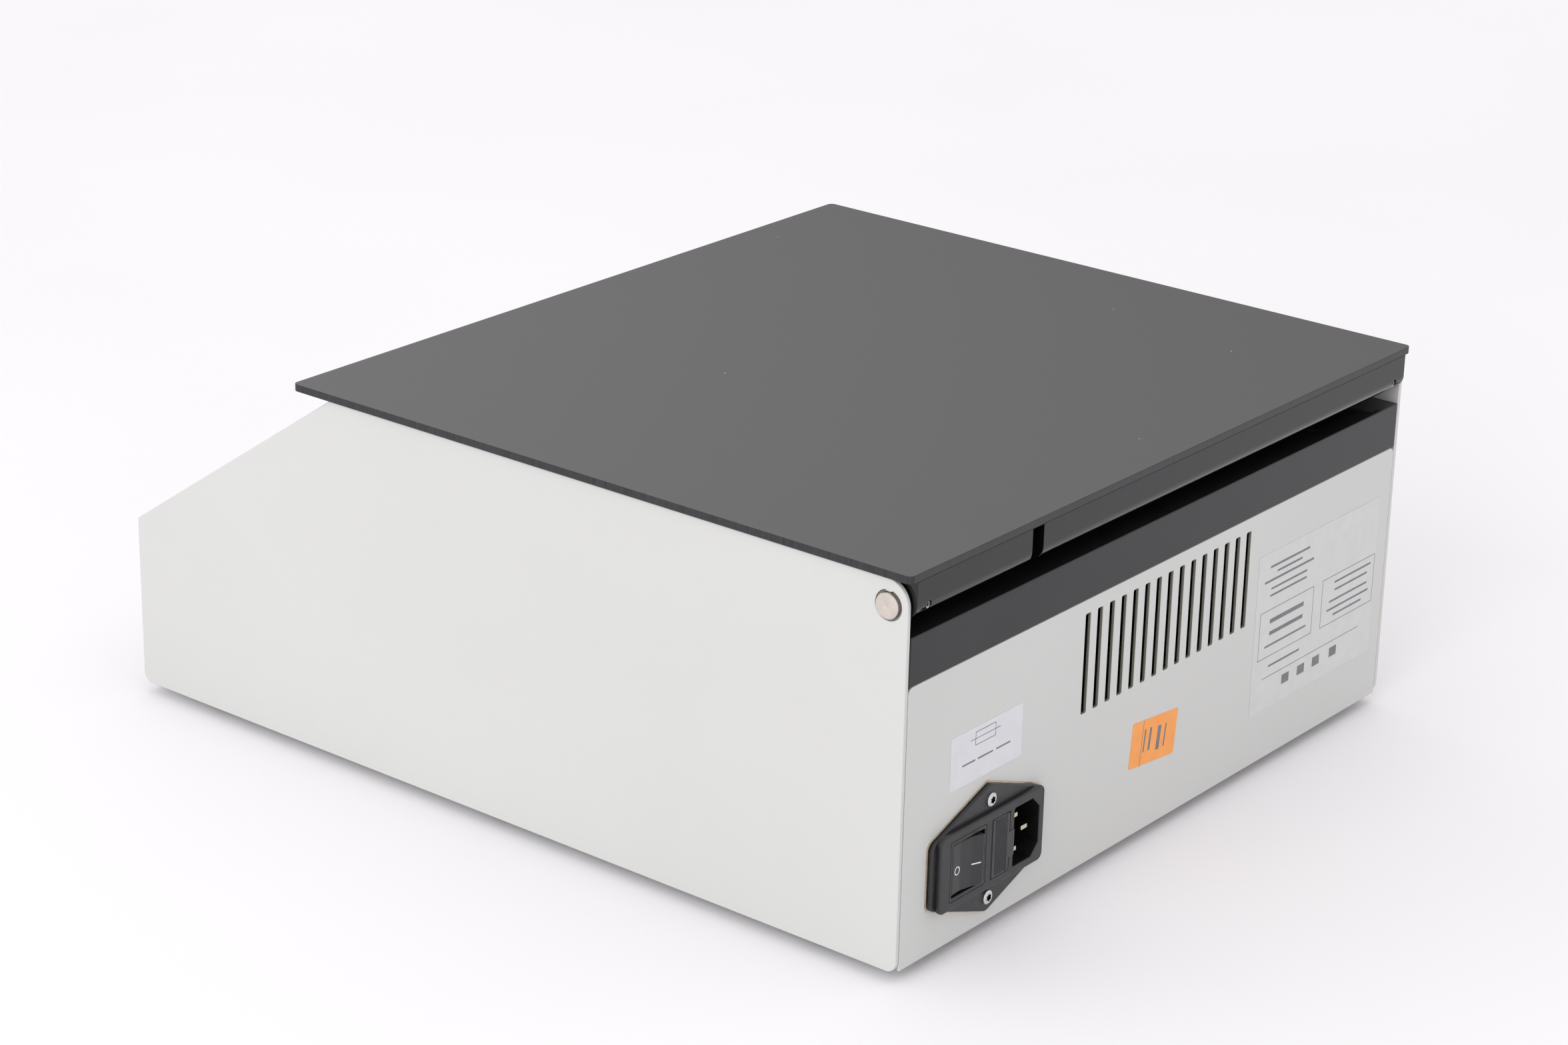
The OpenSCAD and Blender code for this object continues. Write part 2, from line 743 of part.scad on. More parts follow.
module motor_pulley() {
    color(steel) at_tub(0) translate([motor_x, 0, 0]) {
        translate([0, 0, bridge_z - 19]) cylinder(h = pulley_z - bridge_z + 19, r = 2.5);
        translate([0, 0, pulley_z]) cylinder(h = pulley_t, r = pinion_r - 0.1);
        translate([0, 0, pulley_z]) cylinder(h = 0.9, r = pinion_r + 2);
        translate([0, 0, pulley_z + pulley_t - 0.9]) cylinder(h = 0.9, r = pinion_r + 2);
    }
}

// Outline round both pulleys, grown by g; its straight runs are the common tangents
module belt_outline(g) {
    lean = asin((pulley_r - pinion_r) / motor_x);
    big = (pulley_r + g) * [sin(lean), cos(lean)];
    small = (pinion_r + g) * [sin(lean), cos(lean)];
    circle(r = pulley_r + g, $fn = 96);
    translate([motor_x, 0]) circle(r = pinion_r + g, $fn = 48);
    polygon([big, [motor_x, 0] + small, [motor_x + small[0], -small[1]], [big[0], -big[1]]]);
}

module drive_belt() {
    color(rubber) at_tub(pulley_z + (pulley_t - belt_w) / 2) linear_extrude(belt_w) difference() {
        belt_outline(belt_t);
        belt_outline(0);
    }
}

// Idler crank: shaft, web and a pin as far off centre as the drive's pin
module idler_crank(i) {
    color(steel) at_tub(0) translate([idler_places[i][0], idler_places[i][1], 0]) {
        translate([0, 0, bridge_z + bridge_t]) cylinder(h = idler_crank_z - bridge_z - bridge_t, r = small_ring[1]);
        translate([0, 0, idler_crank_z - 0.5]) cylinder(h = crank_web_t + 0.5, r = small_ring[1] + orbit_r + 1.5);
        translate([orbit_r, 0, idler_crank_z + crank_web_t])
            cylinder(h = table_top - 0.5 - idler_crank_z - crank_web_t, r = small_ring[1]);
    }
}

module idler_crank_1() {
    idler_crank(0);
}

module idler_crank_2() {
    idler_crank(1);
}

module idler_crank_3() {
    idler_crank(2);
}

module idler_crank_4() {
    idler_crank(3);
}

// ---------- shaken table ----------

module shaker_table() {
    color(alu) at_tub(table_bottom) translate([orbit_r, 0, 0]) difference() {
        linear_extrude(table_t) rounded_rect(table_w, table_d, 5);
        pin_places() translate([0, 0, -1]) cylinder(h = table_t + 2, r = small_ring[0] + 0.02);
    }
}

module table_bearings() {
    color(steel) at_tub(table_bottom + 0.4) translate([orbit_r, 0, 0])
        pin_places() ring(small_ring[0], small_ring[1] + run_fit, small_ring[2]);
}

// Block with four pockets that each hold one microplate
module plate_nest() {
    color("#3A3A3D") at_tub(table_top) translate([orbit_r, 0, 0]) difference() {
        linear_extrude(nest_t + rim_h) rounded_rect(table_w, table_d, 5);
        for (p = nest_places) translate([p[0], p[1], nest_t]) {
            linear_extrude(rim_h + 1) rounded_rect(plate_l + 2 * plate_gap, plate_w + 2 * plate_gap, 3);
            for (s = [-1, 1]) translate([s * (plate_l / 2 - 6) - 11, -plate_w / 2 - 3, 0.4])
                cube([22, plate_w + 6, rim_h + 1]);
        }
        for (p = nest_places) translate([p[0], p[1] - 12, nest_t - 2]) spring_pocket();
    }
}

module spring_pocket() {
    translate([plate_l / 2 - 1, 0, 0]) cube([3, 24, rim_h + 3]);
}

// Bowed leaf that presses a microplate into the corner of its nest
module plate_springs() {
    leaf_t = 0.4;
    bow = 18;
    color(nickel) at_tub(table_top) translate([orbit_r, 0, 0])
        for (p = nest_places) translate([p[0] + plate_l / 2 + 1.95, p[1], nest_t - 1.9]) {
            translate([-leaf_t, -11.5, 0]) cube([leaf_t, 23, rim_h + 1.4]);
            translate([bow - 2.2, 0, 2.4]) intersection() {
                ring(bow, bow - leaf_t, rim_h - 1);
                translate([-bow - 1, -7, 0]) cube([3, 14, rim_h]);
            }
        }
}

// ---------- power inlet ----------

module inlet_screw_places() {
    for (s = [-1, 1]) translate([0, 0, s * inlet_screw_pitch / 2]) children();
}

// Six-sided outline of the inlet's flange in X and Z, smaller by in all round
module inlet_outline(in = 0) {
    w = inlet_w / 2 - in;
    h = inlet_h / 2 - in;
    side = inlet_side_h / 2 - in / 2;
    polygon(rounded([[-w, -side], [0, -h], [w, -side], [w, side], [0, h], [-w, side]], [4, 4, 4, 4, 4, 4]));
}

module at_inlet(dx = 0) {
    translate([inlet_x + dx, 0, foot_h + inlet_z]) children();
}

module inlet_plate() {
    color(nickel) at_inlet() difference() {
        upright(rear_y, inlet_plate_t) inlet_outline();
        upright(rear_y - 1, 3) rounded_rect(inlet_house_w + 2 * seam, inlet_house_h + 2 * seam, 1);
        inlet_screw_places() rod_y(rear_y - 1, 3, 1.6);
    }
}

module socket_outline() {
    cut = 4.5;
    w = socket_size[0] / 2;
    h = socket_size[1] / 2;
    polygon(rounded([[w, -h], [w, h], [-w + cut, h], [-w, h - cut], [-w, -h + cut], [-w + cut, -h]],
        [0.8, 0.8, 0.8, 0.8, 0.8, 0.8], 4));
}

module inlet_body() {
    color(dark_plastic) at_inlet() difference() {
        union() {
            upright(rear_y + inlet_plate_t, inlet_flange_t) inlet_outline(0.5);
            upright(flange_face - 0.5, inlet_bezel_t + 0.5) rounded_rect(bezel_w, bezel_h, 3);
            upright(inlet_face - inlet_depth, inlet_depth - 1) rounded_rect(inlet_house_w, inlet_house_h, 1);
        }
        translate([rocker_dx, 0, 0]) {
            upright(inlet_face - 14, 20) rounded_rect(rocker_well[0], rocker_well[1], 0.6);
            translate([0, inlet_face - rocker_axis_in, -rocker_well[1] / 2 - 1])
                cylinder(h = rocker_well[1] + 2, r = 1.2 + run_fit);
        }
        translate([drawer_dx, 0, 0])
            upright(inlet_face - drawer_depth - 1, drawer_depth + 5)
            square([drawer_size[0] + 2 * slide_gap, drawer_size[1] + 2 * slide_gap], center = true);
        translate([socket_dx, 0, 0]) {
            upright(inlet_face - socket_depth, 30) socket_outline();
            blades(0.02);
        }
        inlet_screw_places() rod_y(rear_y - 1, 10, 1.6);
    }
}

// Three contact blades, each g larger all round, and their tabs behind the module
module blades(g) {
    for (p = blade_places)
        translate([p[0] - blade[0] / 2 - g, inlet_face - inlet_depth - 8, p[1] - blade[1] / 2 - g])
        cube([blade[0] + 2 * g, inlet_depth + 8 - blade_in, blade[1] + 2 * g]);
}

module inlet_pins() {
    color(nickel) at_inlet(socket_dx) blades(0);
}

module inlet_screws() {
    color(nickel) at_inlet() inlet_screw_places() {
        difference() {
            rod_y(flange_face, 1.2, 2.9);
            rod_y(flange_face + 0.3, 3, 1.4, $fn = 6);
        }
        rod_y(rear_y - rear_t - 4, rear_t + 4.5 + flange_face - rear_y, 1.5);
        rod_y(rear_y - rear_t - 2.2, 2.2, 3);
    }
}

// Rocker seen along its upright axis: both ends stand up from a shallow middle
module rocker_outline() {
    w = rocker_size[0] / 2;
    polygon([[-w, -3.2], [-w, 0.9], [-w + 0.6, 1.2], [-3, 0.1], [3, 0.1], [w - 0.6, 1.2], [w, 0.9],
        [w, -3.2], [4, -11], [-4, -11]]);
}

module rocker_switch() {
    h = rocker_size[1];
    color(dark_plastic) at_inlet(rocker_dx) translate([0, inlet_face - rocker_axis_in, 0])
        rotate([0, 0, -rocker_swing / 2]) {
            translate([0, rocker_axis_in - 0.4, -h / 2]) linear_extrude(h) rocker_outline();
            translate([0, 0, -rocker_well[1] / 2 - 0.6]) cylinder(h = rocker_well[1] + 1.2, r = 1.2);
        }
}

module fuse_drawer() {
    color(dark_plastic) at_inlet(drawer_dx) difference() {
        upright(inlet_face - drawer_depth, drawer_depth + 0.3)
            square([drawer_size[0], drawer_size[1]], center = true);
        for (d = [8, 16]) translate([-fuse_r - 0.2, inlet_face - d - fuse_r - 0.2, -fuse_l / 2 - 0.3])
            cube([drawer_size[0], 2 * fuse_r + 0.4, fuse_l + 0.6]);
    }
}

module fuses() {
    color("#D8DEDC") at_inlet(drawer_dx) for (d = [8, 16])
        translate([0, inlet_face - d, -fuse_l / 2]) cylinder(h = fuse_l, r = fuse_r);
}

// ---------- electronics ----------

module power_supply() {
    color(board_green) translate([-side_x + 26, rear_y - 71, pan_top]) {
        for (x = [4, 96], y = [4, 52]) translate([x, y, 0]) cylinder(h = 6.5, r = 2.5);
        translate([0, 0, 6]) cube([100, 56, 1.6]);
        translate([8, 8, 7]) cube([26, 30, 22]);
        translate([40, 10, 7]) cube([32, 34, 26]);
        translate([82, 16, 7]) cylinder(h = 28, r = 7);
        translate([82, 36, 7]) cylinder(h = 28, r = 7);
    }
}

module control_board() {
    board_w = bezel_l - 12;
    board_s = bezel_s + 4;
    post_l = -fascia_in - sheet_t - board_n;
    color(board_green) on_slope(control_s, board_n) {
        translate([-board_w / 2, -board_s / 2, -board_t]) cube([board_w, board_s, board_t]);
        for (sx = [-1, 1], sy = [-1, 1])
            translate([sx * (board_w / 2 - 4), sy * (board_s / 2 - 4), -0.2]) cylinder(h = post_l + 0.2, r = 2.6);
        for (x = button_row()) translate([x - 3, -3, -0.2])
            cube([6, 6, button_flange_n - button_foot - button_travel - board_n - 0.1]);
        translate([-40, -board_s / 2 + 12, -board_t - 9]) cube([60, 16, 9.2]);
    }
}

module display_module() {
    depth = -fascia_in - board_n;
    color(dark_plastic) on_slope(control_s, board_n) translate([window_x, 0, 0])
        linear_extrude(depth - 0.4) rounded_rect(window_w - 1, window_s - 1, 0.6);
}

module control_bezel() {
    color(gloss_black) difference() {
        on_slope(control_s, -fascia_in) linear_extrude(bezel_t) difference() {
            rounded_rect(bezel_l, bezel_s, 4);
            translate([window_x, 0]) rounded_rect(window_w, window_s, 1);
        }
        button_places() translate([0, 0, -10]) cylinder(h = 20, r = button_r + button_gap);
    }
}

module display_window() {
    color("#5B7F93") on_slope(control_s, -fascia_in) translate([window_x, 0, 0])
        linear_extrude(bezel_t) rounded_rect(window_w - 0.2, window_s - 0.2, 0.9);
}

function button_row() = [for (i = [0 : 3]) button_x + i * button_pitch];

module button_places() {
    for (x = button_row()) on_slope(control_s, 0) translate([x, 0, 0]) children();
}

// Button cap with the flange that keeps it behind the fascia
module button(i, shade) {
    color(shade) on_slope(control_s, 0) translate([button_row()[i], 0, 0]) {
        translate([0, 0, button_flange_n]) cylinder(h = button_top - button_flange_n, r = button_r);
        translate([0, 0, button_flange_n]) cylinder(h = button_flange_t, r = button_r + 1.5);
        translate([0, 0, button_flange_n - button_foot]) cylinder(h = button_foot + 0.2, r = 2);
    }
}

module start_button() {
    button(0, "#5C9A6A");
}

module stop_button() {
    button(1, "#B4534C");
}

module up_button() {
    button(2, "#C9CACC");
}

module down_button() {
    button(3, "#C9CACC");
}

// ---------- labels ----------

// Three stickers on the rear panel: width, height, middle X and Z, and tilt
module rear_labels() {
    label_t = 0.15;
    stickers = [
        [44.5, 21.5, side_x - 51.4, 72.9, 0, label_white],
        [31.8, 19, side_x - 164.5, 37.8, 6, label_orange],
        [94, 70, side_x - 282.5, 57.5, 0, label_white]
    ];
    for (s = stickers)
        color(s[5]) upright(rear_y, label_t) translate([s[2], foot_h + s[3]]) rotate(s[4])
            rounded_rect(s[0], s[1], 1);
}

side_panel_right();
side_panel_left();
base_pan();
rear_panel();
front_fascia();
deck();
feet();
case_screws();
hinge_bushes();
hinge_pins();
set_screws();
hinge_rail();
lid_plate();
lid_frame();
lid_foam();
lid_liner();
lid_seal();
lid_magnet();
lid_sensor();
chamber_tub();
heater_mat();
chamber_foam();
temperature_probe();
drive_bridge();
bridge_posts();
idler_housings();
fixed_bearings();
drive_shaft();
main_pulley();
counterweight();
drive_motor();
motor_pulley();
drive_belt();
idler_crank_1();
idler_crank_2();
idler_crank_3();
idler_crank_4();
shaker_table();
table_bearings();
plate_nest();
plate_springs();
inlet_plate();
inlet_body();
inlet_pins();
inlet_screws();
rocker_switch();
fuse_drawer();
fuses();
power_supply();
control_board();
display_module();
control_bezel();
display_window();
start_button();
stop_button();
up_button();
down_button();
rear_labels();
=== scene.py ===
# %% [markdown]
# # A benchtop microplate incubator shaker
# The machine is a low sheet-metal case with a sloped front. A black acrylic lid covers its heated
# chamber, and the mains inlet sits at the back. The frame holds every part at its real size. This
# file gives the parts their finish and redraws the visible ones with rounded edges.

# %% Load the frame and keep its box
import json
import math

import bmesh
import bpy
import numpy as np
from mathutils import Matrix, Vector
from mathutils.geometry import tessellate_polygon


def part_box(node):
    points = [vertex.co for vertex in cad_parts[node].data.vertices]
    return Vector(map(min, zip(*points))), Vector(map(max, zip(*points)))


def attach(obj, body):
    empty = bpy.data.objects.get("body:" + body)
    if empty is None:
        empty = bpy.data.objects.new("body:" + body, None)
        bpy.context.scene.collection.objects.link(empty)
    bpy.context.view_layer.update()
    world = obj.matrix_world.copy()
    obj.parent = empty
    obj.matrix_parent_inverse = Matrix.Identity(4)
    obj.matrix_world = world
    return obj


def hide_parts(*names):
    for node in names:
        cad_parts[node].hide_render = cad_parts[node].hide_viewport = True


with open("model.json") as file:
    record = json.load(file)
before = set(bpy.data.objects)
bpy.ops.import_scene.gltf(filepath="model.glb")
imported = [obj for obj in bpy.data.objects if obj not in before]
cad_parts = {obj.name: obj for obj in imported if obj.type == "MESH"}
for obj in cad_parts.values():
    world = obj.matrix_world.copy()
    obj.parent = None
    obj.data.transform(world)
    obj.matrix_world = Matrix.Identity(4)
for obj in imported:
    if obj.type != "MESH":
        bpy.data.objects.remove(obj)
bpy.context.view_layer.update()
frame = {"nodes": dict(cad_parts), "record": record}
MM = 0.001
X, Y, Z = np.eye(3)

# %% [markdown]
# The camera comes first. It stands behind the machine on its right, a little over the lid, with a
# long lens, so the case's edges stay almost parallel. It leans by about a degree, as a hand-set
# tripod does.

# %% Camera
CAMERA_AT = Vector((1.1433, 0.9128, 0.6484))
CAMERA_AIM = Vector((-0.0044, 0.0025, 0.080))
CAMERA_ROLL = math.radians(1.30)
LENS_MM, SENSOR_MM = 86.08, 36.0
camera = bpy.data.objects.new("camera", bpy.data.cameras.new("camera"))
camera.data.lens = LENS_MM
camera.data.sensor_width = SENSOR_MM
camera.location = CAMERA_AT
aim = (CAMERA_AIM - CAMERA_AT).to_track_quat("-Z", "Y").to_matrix()
camera.rotation_euler = (aim @ Matrix.Rotation(CAMERA_ROLL, 3, "Z")).to_euler()
bpy.context.scene.collection.objects.link(camera)
bpy.context.scene.camera = camera
print("camera: lens", camera.data.lens, "mm")

# %% [markdown]
# ## Materials
# Every finish is a Principled shader with small procedural patterns on Object coordinates, which
# are metres in this file. Pattern scales below are one over a real size, so a scale of
# `1 / (1.5 * MM)` gives features about 1.5 mm across.

# %% Colour and node helpers
def srgb(code, alpha=1.0):
    """Turns a hex colour such as "E4E4E2" into the linear red, green, blue and alpha of a shader."""
    part = np.array([int(code[i : i + 2], 16) for i in (0, 2, 4)]) / 255
    linear = np.where(part <= 0.04045, part / 12.92, ((part + 0.055) / 1.055) ** 2.4)
    return (*(float(x) for x in linear), alpha)


def add(tree, kind, inputs=None, **settings):
    """Adds one node. settings are its own properties. inputs maps a socket's name, or its number
    where a node has several of one name, to a value or to another node's output."""
    made = tree.nodes.new("ShaderNode" + kind)
    for name, value in settings.items():
        setattr(made, name, value)
    for name, value in (inputs or {}).items():
        if isinstance(value, bpy.types.NodeSocket):
            tree.links.new(value, made.inputs[name])
        else:
            made.inputs[name].default_value = value
    return made


def new_material(name, **sockets):
    """Makes a material with a Principled shader, sets that shader's plain sockets and adds a
    Texture Coordinate node."""
    made = bpy.data.materials.new(name)
    made.use_nodes = True
    for socket, value in sockets.items():
        made.node_tree.nodes["Principled BSDF"].inputs[socket.replace("_", " ")].default_value = value
    add(made.node_tree, "TexCoord")
    return made


def parts_of(made):
    """A material's tree, its shader and its Object coordinates."""
    tree = made.node_tree
    return tree, tree.nodes["Principled BSDF"], tree.nodes["Texture Coordinate"].outputs["Object"]


NOISE_LOW, NOISE_HIGH = 0.3, 0.7  # nearly all of a noise texture lies between these


def noise_of(made, size, detail, stretch):
    """Noise whose patches have the given size, longer along an axis with a stretch below one."""
    tree, shader, coords = parts_of(made)
    spread = add(tree, "Mapping", {0: coords, "Scale": stretch}).outputs[0]
    scale = {"Vector": spread, "Scale": 1 / size, "Detail": detail}
    return tree, shader, add(tree, "TexNoise", scale).outputs[0]


def mottle(made, size, low, high, stretch=(1, 1, 1)):
    """Lets the base colour wander between two hex colours."""
    tree, shader, noise = noise_of(made, size, 3.0, stretch)
    share = add(tree, "MapRange", {0: noise, 1: NOISE_LOW, 2: NOISE_HIGH}).outputs[0]
    tint = add(tree, "Mix", {0: share, 6: srgb(low), 7: srgb(high)}, data_type="RGBA")
    tree.links.new(tint.outputs[2], shader.inputs["Base Color"])


def rough(made, size, low, high, stretch=(1, 1, 1)):
    """Lets the roughness wander between two values."""
    tree, shader, noise = noise_of(made, size, 4.0, stretch)
    level = add(tree, "MapRange", {0: noise, 1: NOISE_LOW, 2: NOISE_HIGH, 3: low, 4: high})
    tree.links.new(level.outputs[0], shader.inputs["Roughness"])


def relief(made, size, height, strength=1.0, detail=2.0, stretch=(1, 1, 1)):
    """Raises the surface with noise, to the given height in metres."""
    tree, shader, noise = noise_of(made, size, detail, stretch)
    bump = add(tree, "Bump", {"Height": noise, "Strength": strength, "Distance": height})
    tree.links.new(bump.outputs[0], shader.inputs["Normal"])


print("helpers ready")

# %% [markdown]
# The case is steel sheet with a light grey powder coat. Powder melts into a skin with a soft
# orange peel about 1 to 2 mm across, so it gets a faint bump and a satin roughness that wanders.
# The shade is almost even, with slow patches that only show on a large panel.

# %% Powder-coated steel
def powder_coat(name, low, high):
    """Slow patches of shade, a wandering satin gloss and an orange peel."""
    made = new_material(name, Roughness=0.5, IOR=1.5)
    mottle(made, 120 * MM, low, high)
    rough(made, 30 * MM, 0.44, 0.54)
    relief(made, 1.6 * MM, 0.02 * MM, 0.5)
    return made


case_paint = powder_coat("powder_coated_steel_light_grey", "C6C7C5", "CACBC9")
print("made", case_paint.name)

# %% [markdown]
# The lid is cast acrylic sheet with its polished skin left on. It is nearly black and mirrors the
# room, and on such a sheet dust always shows: a few pale specks, and very fine wiping marks that
# change the gloss. The specks come from a cell pattern: only the middles of a few cells are kept.

# %% Polished black acrylic with dust
DUST_GRID, DUST_R = 16 * MM, 0.352 * MM


def black_acrylic(name, dusty, base):
    """Polished acrylic. dusty is the share of cells that hold a speck of dust."""
    made = new_material(name, Roughness=0.05, IOR=1.49)
    tree, shader, coords = parts_of(made)
    rough(made, 14 * MM, 0.03, 0.085, stretch=(1, 0.25, 1))
    cells = add(tree, "TexVoronoi", {"Vector": coords, "Scale": 1 / DUST_GRID, "Randomness": 1.0})
    near = add(tree, "Math", {0: cells.outputs["Distance"], 1: DUST_R / DUST_GRID},
               operation="LESS_THAN")
    pick = add(tree, "SeparateColor", {0: cells.outputs["Color"]})
    rare = add(tree, "Math", {0: pick.outputs[0], 1: 1 - dusty}, operation="GREATER_THAN")
    speck = add(tree, "Math", {0: near.outputs[0], 1: rare.outputs[0]}, operation="MULTIPLY")
    tint = add(tree, "Mix", {0: speck.outputs[0], 6: srgb(base), 7: srgb("A9A8A4")},
               data_type="RGBA")
    tree.links.new(tint.outputs[2], shader.inputs["Base Color"])
    return made


lid_acrylic = black_acrylic("polished_black_acrylic", 0.16, "141416")
rail_acrylic = black_acrylic("polished_black_acrylic_bar", 0.03, "0B0B0C")
print("made", lid_acrylic.name, "and", rail_acrylic.name)

# %% [markdown]
# The lid's edges are sawn, and the blade leaves fine upright strokes that make them satin. A noise
# squeezed along the edge draws strokes about 0.6 mm apart, as coarse as they need to be to show.

# %% Sawn acrylic edge
STROKE, UPRIGHT = 0.6 * MM, (1, 1, 0.05)
sawn_acrylic = new_material("sawn_black_acrylic_edge", Roughness=0.3, IOR=1.49)
mottle(sawn_acrylic, STROKE, "101012", "2B2B2E", stretch=UPRIGHT)
rough(sawn_acrylic, STROKE, 0.22, 0.45, stretch=UPRIGHT)
relief(sawn_acrylic, STROKE, 0.03 * MM, 0.6, stretch=UPRIGHT)
print("made", sawn_acrylic.name)

# %% [markdown]
# The deck is sheet metal in gloss black enamel. Enamel flows out flatter than powder, so it has
# only a long, low waviness, which bends the reflections a little.

# %% Gloss black enamel
deck_enamel = new_material("gloss_black_enamel", Roughness=0.07, IOR=1.42)
mottle(deck_enamel, 40 * MM, "1A1A1C", "1F1F21")
rough(deck_enamel, 25 * MM, 0.05, 0.1)
relief(deck_enamel, 9 * MM, 0.02 * MM, 0.35, detail=1.0)
print("made", deck_enamel.name)

# %% [markdown]
# The mains inlet is injection-moulded polyamide. Its mould was spark-eroded, which leaves a grain
# of about 0.35 mm, and the surface is satin. The other mouldings, such as the lid frame and the
# button caps, have a coarser grain, and the marks on them are a thin film of ink.

# %% Moulded plastics
def moulded(name, low, high, grain, roughness):
    """A moulding whose gloss wanders about one roughness, over a grain of the given size."""
    made = new_material(name, Roughness=roughness, IOR=1.53)
    mottle(made, 6 * MM, low, high)
    rough(made, 3 * MM, roughness - 0.05, roughness + 0.07)
    relief(made, grain, 0.03 * MM, 0.35)
    return made


inlet_plastic = moulded("moulded_polyamide_black", "1E1E20", "252527", 0.35 * MM, 0.38)
# painted shade: the same polyamide, near black for the shade inside the inlet's holes and wells
recess_painted_shade = moulded("polyamide_recesses_painted_shade", "0A0A0B", "0F0F10", 0.35 * MM, 0.4)
drawer_plastic = moulded("moulded_polyamide_drawer", "2B2C30", "333438", 0.35 * MM, 0.42)
acetal_grey = moulded("moulded_acetal_grey", "6C6C6D", "7A7A7B", 0.5 * MM, 0.4)
rocker_plastic = moulded("moulded_polycarbonate_black", "202022", "262628", 0.5 * MM, 0.34)
frame_plastic = moulded("moulded_abs_black", "1A1A1B", "222224", 0.5 * MM, 0.42)
mark_white = moulded("pad_printed_white_ink", "D8D8D6", "E6E6E4", 0.3 * MM, 0.5)
green_cap = moulded("moulded_abs_green", "3E7F50", "468A59", 0.5 * MM, 0.4)
red_cap = moulded("moulded_abs_red", "9E3B33", "A9443B", 0.5 * MM, 0.4)
grey_cap = moulded("moulded_abs_grey", "A9AAAC", "B4B5B7", 0.5 * MM, 0.4)
print("made the plastics")

# %% [markdown]
# Metals. Nickel plate is warm and bright with a soft haze. Ground steel has fine marks along its
# length. Anodised aluminium has rolling lines, drawn by a noise stretched along the sheet. A metal
# keeps the default IOR.

# %% Metals
def metal(name, low, high, size, roughness, stretch=(1, 1, 1)):
    """A metal whose shade, gloss and relief all follow marks of one size, stretched or not."""
    made = new_material(name, Metallic=1.0)
    mottle(made, size, low, high, stretch=stretch)
    rough(made, size, roughness - 0.06, roughness + 0.08, stretch=stretch)
    relief(made, size, 0.01 * MM, 0.3, stretch=stretch)
    return made


nickel_plate = metal("nickel_plate", "B9B2A6", "C9C3B8", 4 * MM, 0.24)
turned_steel = metal("ground_steel", "A3A3A5", "B1B1B3", 1.2 * MM, 0.28, stretch=(1, 1, 0.1))
blade_nickel = metal("nickel_plated_brass", "C9BFA8", "D8CFBC", 2 * MM, 0.2)
spring_nickel = metal("spring_plate_nickel", "C4B7A6", "D2C6B6", 3 * MM, 0.3)
screw_zinc = metal("bright_zinc_plate", "CDCDCE", "DADADB", 1.5 * MM, 0.24)
# painted shade: the screws' own zinc plate, darker for the shade inside their sockets
screw_socket_painted_shade = metal("screw_recess_painted_shade", "3A3936", "474541", 1 * MM, 0.4)
rolled_aluminium = metal("anodised_aluminium", "BEBFC1", "C8C9CB", 0.8 * MM, 0.34,
                         stretch=(0.05, 1, 1))
nest_anodised = metal("grey_anodised_aluminium", "5A5B5E", "68696C", 1.5 * MM, 0.42,
                      stretch=(0.1, 1, 1))
print("made the metals")

# %% [markdown]
# The hinge pins were faced on a lathe, and the tool leaves rings round the axis. They are a wave of
# the distance to that axis, used as a bump. Real rings are finer: 0.35 mm is what it takes to show.

# %% Faced nickel-plated steel
RING_STEP = 0.35 * MM
hinge_lo, hinge_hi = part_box("hinge_pins")
HINGE = (hinge_lo + hinge_hi) / 2
pin_steel = new_material("faced_nickel_steel", Metallic=1.0)
tree, shader, coords = parts_of(pin_steel)
mottle(pin_steel, 5 * MM, "CFC6BC", "DAD2C9")
centred = add(tree, "VectorMath", {0: coords, 1: (0, HINGE.y, HINGE.z)}, operation="SUBTRACT")
flat = add(tree, "VectorMath", {0: centred.outputs[0], 1: (0, 1, 1)}, operation="MULTIPLY")
reach = add(tree, "VectorMath", {0: flat.outputs[0]}, operation="LENGTH")
turns = add(tree, "Math", {0: reach.outputs["Value"], 1: 2 * math.pi / RING_STEP},
            operation="MULTIPLY")
wave = add(tree, "Math", {0: turns.outputs[0]}, operation="SINE")
rings = add(tree, "Bump",
            {"Height": wave.outputs[0], "Strength": 0.25, "Distance": 0.004 * MM})
tree.links.new(rings.outputs[0], shader.inputs["Normal"])
rough(pin_steel, 1.5 * MM, 0.2, 0.36)
print("made", pin_steel.name, "about the hinge at", [round(v, 4) for v in HINGE])

# %% [markdown]
# Soft and printed finishes. Rubber is matt with a dusty bloom, silicone is a little glossier, and
# closed-cell foam shows its cells. Stickers are coated paper or a film a shade off the panel, and
# circuit boards are green with paler tracks under the mask, drawn as the joints of a brick pattern.

# %% Rubber, silicone, foam, paper and board
rubber = moulded("black_rubber", "161616", "1F1F1F", 0.8 * MM, 0.7)
silicone = moulded("dark_silicone", "232325", "2B2B2D", 2 * MM, 0.45)
heater_skin = moulded("red_brown_silicone", "8C3F2C", "9A4A35", 3 * MM, 0.55)
paper_white = moulded("coated_paper_white", "D0D1D6", "D5D6DA", 8 * MM, 0.45)
paper_orange = moulded("coated_paper_orange", "F09A48", "F4A352", 8 * MM, 0.5)
film_pale = moulded("matt_film_pale_grey", "C9CAC9", "CECECD", 8 * MM, 0.5)
print_ink = moulded("thermal_print_ink", "6A6A6E", "77777B", 0.5 * MM, 0.5)

FOAM_CELL, TRACK_GRID = 1.2 * MM, 22 * MM
foam = new_material("closed_cell_foam", Roughness=0.85)
tree, shader, coords = parts_of(foam)
cells = add(tree, "TexVoronoi", {"Vector": coords, "Scale": 1 / FOAM_CELL})
shade = add(tree, "Mix", {0: cells.outputs["Distance"], 6: srgb("26272A"), 7: srgb("3C3E42")},
            data_type="RGBA")
tree.links.new(shade.outputs[2], shader.inputs["Base Color"])
dents = add(tree, "Bump",
            {"Height": cells.outputs["Distance"], "Strength": 0.6, "Distance": 0.2 * MM})
tree.links.new(dents.outputs[0], shader.inputs["Normal"])

